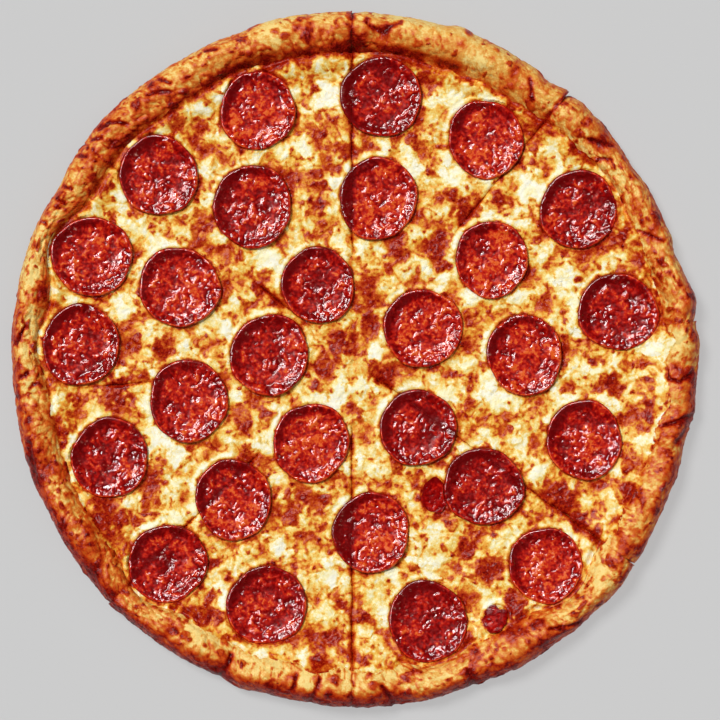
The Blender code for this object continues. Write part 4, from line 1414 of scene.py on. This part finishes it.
def disc_edge(disc, angle, side, spacing):
    """The flat outline of a pepperoni, whole or on one side of a cut."""
    steps = round(2.0 * math.pi * disc.mean / spacing)
    turn = np.arange(steps) * 2.0 * math.pi / steps
    outline = disc.outline(turn)
    if angle is None:
        return outline
    beside = disc_cut(disc, *outline.T, angle, side)
    keep = beside > 0.35 * spacing
    start = next(i for i in range(steps) if keep[i] and not keep[i - 1])
    kept = [outline[(start + i) % steps] for i in range(steps) if keep[(start + i) % steps]]
    first, last = chord_end(disc, kept[0], angle, side), chord_end(disc, kept[-1], angle, side)
    count = max(2, round(float(np.hypot(*(first - last))) / spacing))
    chord = np.array([last + (first - last) * i / count for i in range(count + 1)])
    _, square = cut_direction(angle)
    beside = disc_cut(disc, *chord.T, angle, side)
    return np.vstack([kept, chord - side * beside[:, None] * square])


def disc_cut(disc, u, v, angle, side):
    """How far the flat points of a disc are from a cut, on the side that is kept."""
    return side * from_cut(u + disc.x, v + disc.y, angle)[1] - MEAT_CUT_HALF_WIDTH


def chord_end(disc, corner, angle, side):
    """Where the edge of a disc meets the cut, from the nearest kept point of the edge."""
    direction, square = cut_direction(angle)
    moved = corner - side * disc_cut(disc, *corner, angle, side) * square
    out = float(disc.inward(*moved[:, None])[0])
    centre = np.array((CUTS_MEET[0] - disc.x, CUTS_MEET[1] - disc.y))
    along = (moved - centre) @ direction
    middle = -centre @ direction
    return moved + direction * (along - middle) * (0.998 / out - 1.0)


def pepperoni_piece(name, disc, look, samples, material, angle=None, side=1.0, outline=None):
    """One pepperoni, or the half of one."""
    spacing = look.spacing / MM
    if outline is None:
        outline = disc_edge(disc, angle, side, spacing)
    dry = float(disc.number > len(PEPPERONI))
    reach = max(disc.half) * 1.06
    u, v = hex_points((-reach, -reach), (reach, reach), spacing)
    ring_turn = np.arange(0.0, 2.0 * math.pi, spacing / disc.mean)
    ring = disc.outline(ring_turn, CREST)
    body = np.stack([u, v], axis=1)[disc.inward(u, v) < CREST - 0.6 * spacing / disc.mean]
    inner = clear_of(np.vstack([ring, body]), disc, angle, side, outline, spacing)
    cu, cv = hex_points((-reach, -reach), (reach, reach), 3.4)
    coarse = np.stack([cu, cv], axis=1)[disc.inward(cu, cv) < 0.9]
    rest_ring = disc.outline(np.arange(0.0, 2.0 * math.pi, math.radians(9.0)), CURL_START)
    coarse = np.vstack([coarse[np.abs(disc.inward(*coarse.T) - CURL_START) > 0.09], rest_ring])
    coarse = clear_of(coarse, disc, angle, side, outline, 2.4)
    stored = {}

    def top(px, py):
        out, turn = disc.inward(px, py), np.arctan2(py, px)
        tone, fat, lift, oil = meat_field(disc, px, py, out)
        if angle is not None:
            beside = disc_cut(disc, px, py, angle, side)
            # Painted shade in the groove along the cut
            tone -= hump(beside, 1.5)
            lift -= 0.3 * hump(beside, 1.5)
        # Painted shade on the halves that the knife pressed down
        if name.endswith(SHADED_HALVES):
            tone -= 1.1
        if dry:
            tone, lift = 0.7 * tone - 0.5, lift * 0.35
        stored["tone"], stored["oil"] = ranked(tone, samples), oil
        stored["fat"], stored["rim"] = fat * (1.0 - dry), smooth_step(0.93, 1.0, out)
        calm = smooth_step(1.0, 0.9, out)
        return disc_top(disc, out, turn) + lift * look.bumps / MM * (0.25 + 0.75 * calm)

    def bottom(px, py):
        out = disc.inward(px, py)
        return np.minimum(disc.underside(out), disc.thick + CURL_RISE * disc.cup - 1.0)

    points, faces, count = slab(outline, inner, coarse, top, bottom)
    tilt = np.array(disc.place)
    points = points @ tilt[:3, :3].T + tilt[:3, 3]
    underneath = (("tone", 0.35), ("fat", 0.0), ("rim", 1.0), ("oil", 0.0))
    rest = len(points) - count
    attributes = {key: np.append(stored[key], np.full(rest, value)) for key, value in underneath}
    return new_piece(name, points, faces, [material], attributes)


def clear_of(points, disc, angle, side, outline, spacing):
    """Drop the points beyond a cut, and those too near the outline."""
    if angle is not None:
        points = points[disc_cut(disc, *points.T, angle, side) > 0.6 * spacing]
    return points[keep_apart(points, outline, 0.45 * spacing)]


def meat_samples():
    """Sorted tones over a few pepperoni."""
    tones = []
    half = 21.0
    for number in (1, 9, 17, 25):
        disc = DISCS[number]
        u, v = hex_points((-half, -half), (half, half), 0.9)
        out = disc.inward(u, v)
        inside = out < 1.0
        tones.append(meat_field(disc, u[inside], v[inside], out[inside])[0])
    return np.sort(np.concatenate(tones))


def pepperoni_finish(look, name="pepperoni_meat", shine=0.5):
    """Cured meat with a skin of oil."""
    finish = Finish(name, {"Roughness": 0.2, "Specular IOR Level": shine})
    tone, fat, rim = finish.attribute("tone"), finish.attribute("fat"), finish.attribute("rim")
    chunk, speck = finish.grain(2.0, 1.0, 0.5), finish.grain(0.9, 1.0, 0.3)
    shade = tone + (chunk - 0.5) * 0.45 + (speck - 0.5) * 0.6
    colours = (look.maroon, look.crimson, look.red, look.scarlet, look.orange)
    meat = finish.ramp(shade, tuple(zip((0.0, 0.2, 0.5, 0.82, 1.0), colours)))
    fatty = fat * speck.between(0.42, 0.62) * (1.0 - rim * 0.6)
    finish.set("Base Color", finish.mix(fatty * 0.75, meat, (*look.fat, 1.0)))
    oil = finish.attribute("oil")
    finish.set("Roughness", chunk.between(0.3, 0.7, 0.14, 0.26))
    finish.set("Normal", finish.bump((chunk * 0.75 + speck * 0.25) * (oil * 0.85 + 0.15), 0.42))
    return finish.material


# Operators


def ride_as(piece, slot, *nodes):
    """Let a piece stand for its plain nodes and move with the pizza."""
    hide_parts(*nodes)
    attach(piece, "root")


class PIZZA_OT_bake_crust(Operator):
    """Make the crust of the eight slices"""

    bl_idname = "pizza.bake_crust"
    bl_label = "Bake Crust"

    def execute(self, context):
        look = context.scene.pizza_crust
        section = crust_section(look.spacing / MM)
        samples = crust_samples(section)
        finishes = [crust_finish(look), crumb_finish(look)]
        for index in range(len(SLICE_STARTS)):
            piece = crust_piece(index, section, samples, look.blister / MM, finishes)
            ride_as(piece, "crust", f"crust_slice_{index + 1}")
        return {"FINISHED"}


class PIZZA_OT_melt_cheese(Operator):
    """Make the cheese on the eight slices"""

    bl_idname = "pizza.melt_cheese"
    bl_label = "Melt Cheese"

    def execute(self, context):
        look = context.scene.pizza_cheese
        samples = cheese_samples()
        material = cheese_finish(look)
        for index in range(len(SLICE_STARTS)):
            piece = cheese_piece(index, look.spacing / MM, look.relief / MM, samples, material)
            ride_as(piece, "cheese", f"cheese_slice_{index + 1}")
        return {"FINISHED"}


class PIZZA_OT_lay_pepperoni(Operator):
    """Make the pepperoni, whole or cut through"""

    bl_idname = "pizza.lay_pepperoni"
    bl_label = "Lay Pepperoni"

    def execute(self, context):
        look = context.scene.pizza_pepperoni
        samples = meat_samples()
        material = pepperoni_finish(look)
        for row in PEPPERONI:
            disc = DISCS[row[0]]
            name = f"pepperoni_{disc.number:02d}"
            if disc.number not in CUT_THROUGH:
                piece = pepperoni_piece(f"cured_{name}", disc, look, samples, material)
                ride_as(piece, "pepperoni", name)
                continue
            for suffix, side in (("left", 1.0), ("right", -1.0)):
                piece = pepperoni_piece(
                    f"cured_{name}_{suffix}", disc, look, samples, material, CUT_THROUGH[disc.number], side
                )
                ride_as(piece, "pepperoni", f"{name}_{suffix}")
        return {"FINISHED"}


class PIZZA_OT_drop_scraps(Operator):
    """Make the broken bits of pepperoni"""

    bl_idname = "pizza.drop_scraps"
    bl_label = "Drop Scraps"

    def execute(self, context):
        look = context.scene.pizza_pepperoni
        samples = meat_samples()
        material = pepperoni_finish(look, "dried_scrap", 0.08)
        spacing = look.spacing / MM
        for i, notch in enumerate((0.0, 0.32)):
            disc = DISCS[len(PEPPERONI) + i + 1]
            turn = np.arange(0.0, 2.0 * math.pi, spacing / disc.mean)
            ragged = 1.0 - 0.03 * (1.0 + np.sin(3.0 * turn)) - 0.03 * (1.0 + np.sin(7.0 * turn + i))
            ragged -= notch * hump(turn - 1.25, 0.42) + 0.5 * notch * hump(turn - 5.5, 0.6)
            outline = disc.outline(turn) * ragged[:, None]
            if i == 0:
                outline = beside_neighbour(disc, outline, DISCS[SCRAP_NEIGHBOUR])
            name = f"pepperoni_scrap_{i + 1}"
            piece = pepperoni_piece(f"cured_{name}", disc, look, samples, material, outline=outline)
            ride_as(piece, "pepperoni", name)
        return {"FINISHED"}


def beside_neighbour(disc, outline, neighbour):
    """Draw a scrap's outline in where a whole pepperoni lies against it."""
    away = outline + (disc.x, disc.y)
    out, _ = neighbour.over(away[:, 0], away[:, 1])
    centre = np.array((neighbour.x, neighbour.y))
    push = np.maximum(1.012 / out, 1.0)[:, None]
    return centre + (away - centre) * push - (disc.x, disc.y)


class PIZZA_OT_set_stage(Operator):
    """Set up the floor, the lights and the camera"""

    bl_idname = "pizza.set_stage"
    bl_label = "Set Stage"

    def execute(self, context):
        look = context.scene.pizza_stage
        add_floor(look)
        add_sun("key_light", 135.0, 58.0, 20.0, look.key, glints=False)
        add_sun("fill_light", 330.0, 55.0, 80.0, look.fill, glints=False)
        glint_lights = (("left", 168.0, 56.0), ("middle", 136.0, 52.0), ("right", 104.0, 58.0))
        for name, azimuth, elevation in glint_lights:
            add_sun(f"glint_light_{name}", azimuth, elevation, 13.0, look.glints, shine_only=True)
        world = bpy.data.worlds.new("soft_sky")
        context.scene.world = world
        world.use_nodes = True
        world.node_tree.nodes["Background"].inputs["Color"].default_value = (1.0, 1.0, 1.0, 1.0)
        world.node_tree.nodes["Background"].inputs["Strength"].default_value = look.sky
        world.cycles_visibility.glossy = False
        context.scene.view_settings.view_transform = "Standard"
        add_camera(look)
        return {"FINISHED"}


def add_floor(look):
    """A plain pale ground."""
    mesh = bpy.data.meshes.new("floor")
    corners = [(x * FLOOR_HALF, y * FLOOR_HALF, 0.0) for x, y in ((-1, -1), (1, -1), (1, 1), (-1, 1))]
    mesh.from_pydata(corners, [], [(0, 1, 2, 3)])
    # The ground shines a little itself, so that the shadow on it stays soft
    finish = Finish("plain_ground", {
        "Base Color": (*(c * (1.0 - look.floor_glow) for c in look.floor), 1.0), "Roughness": 0.95,
        "Specular IOR Level": 0.0, "Emission Color": (*look.floor, 1.0), "Emission Strength": look.floor_glow,
    })
    mesh.materials.append(finish.material)
    floor = bpy.data.objects.new("floor", mesh)
    floor.location.z = -FLOOR_GAP
    bpy.context.scene.collection.objects.link(floor)
    floor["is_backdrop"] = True


def add_sun(name, azimuth, elevation, spread, strength, glints=True, shine_only=False):
    """A distant light: the bearing and height that it comes from, its size in degrees, its strength."""
    light = bpy.data.lights.new(name, "SUN")
    light.energy = strength
    light.angle = math.radians(spread)
    turn, rise = math.radians(azimuth), math.radians(elevation)
    source = Vector((math.cos(turn) * math.cos(rise), math.sin(turn) * math.cos(rise), math.sin(rise)))
    sun = bpy.data.objects.new(name, light)
    sun.rotation_euler = source.to_track_quat("Z", "Y").to_euler()
    sun.location = source * 2.0
    sun.visible_glossy = glints
    sun.visible_diffuse = not shine_only
    bpy.context.scene.collection.objects.link(sun)


def add_camera(look):
    """A long lens straight above."""
    camera = bpy.data.cameras.new("camera")
    camera.sensor_width = 36.0
    camera.lens = camera.sensor_width * look.camera_height / look.view_width
    holder = bpy.data.objects.new("camera", camera)
    half = PHOTO_PIXELS / 2.0
    across = (half - PHOTO_MIDDLE[0]) * PHOTO_MM + MIDDLE[0]
    along = (PHOTO_MIDDLE[1] - half) * PHOTO_MM + MIDDLE[1]
    holder.location = (across * MM, along * MM, look.camera_height + 0.9 * RIM_HEIGHT * MM)
    bpy.context.scene.collection.objects.link(holder)
    bpy.context.scene.camera = holder


class PIZZA_PT_maker(Panel):
    """The settings and the steps, in the order in which they are run"""

    bl_idname = "PIZZA_PT_maker"
    bl_label = "Pepperoni Pizza"
    bl_space_type = "VIEW_3D"
    bl_region_type = "UI"
    bl_category = "Pizza"

    def draw(self, context):
        steps = (
            ("pizza_crust", PIZZA_OT_bake_crust), ("pizza_cheese", PIZZA_OT_melt_cheese),
            ("pizza_pepperoni", PIZZA_OT_lay_pepperoni), ("pizza_stage", PIZZA_OT_set_stage),
        )
        for settings_name, step in steps:
            box = self.layout.box()
            settings = getattr(context.scene, settings_name)
            for key in settings.__annotations__:
                box.prop(settings, key)
            box.operator(step.bl_idname)
            if step is PIZZA_OT_lay_pepperoni:
                box.operator(PIZZA_OT_drop_scraps.bl_idname)


SETTINGS = {
    "pizza_crust": CrustSettings,
    "pizza_cheese": CheeseSettings,
    "pizza_pepperoni": PepperoniSettings,
    "pizza_stage": StageSettings,
}
CLASSES = (
    *SETTINGS.values(), PIZZA_OT_bake_crust, PIZZA_OT_melt_cheese, PIZZA_OT_lay_pepperoni,
    PIZZA_OT_drop_scraps, PIZZA_OT_set_stage, PIZZA_PT_maker,
)


def register():
    """Add the classes and the settings to Blender."""
    for item in CLASSES:
        bpy.utils.register_class(item)
    for name, settings in SETTINGS.items():
        setattr(bpy.types.Scene, name, PointerProperty(type=settings))


def unregister():
    """Take them out again."""
    for name in SETTINGS:
        delattr(bpy.types.Scene, name)
    for item in reversed(CLASSES):
        bpy.utils.unregister_class(item)


def main():
    """Make the whole pizza and measure its size."""
    register()
    bpy.ops.pizza.bake_crust()
    bpy.ops.pizza.melt_cheese()
    bpy.ops.pizza.lay_pepperoni()
    bpy.ops.pizza.drop_scraps()
    bpy.ops.pizza.set_stage()
    boxes = {"cad": CAD_BOX, "visual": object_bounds()}
    {name: [list(corner) for corner in box] for name, box in boxes.items()}


if __name__ == "__main__":
    main()
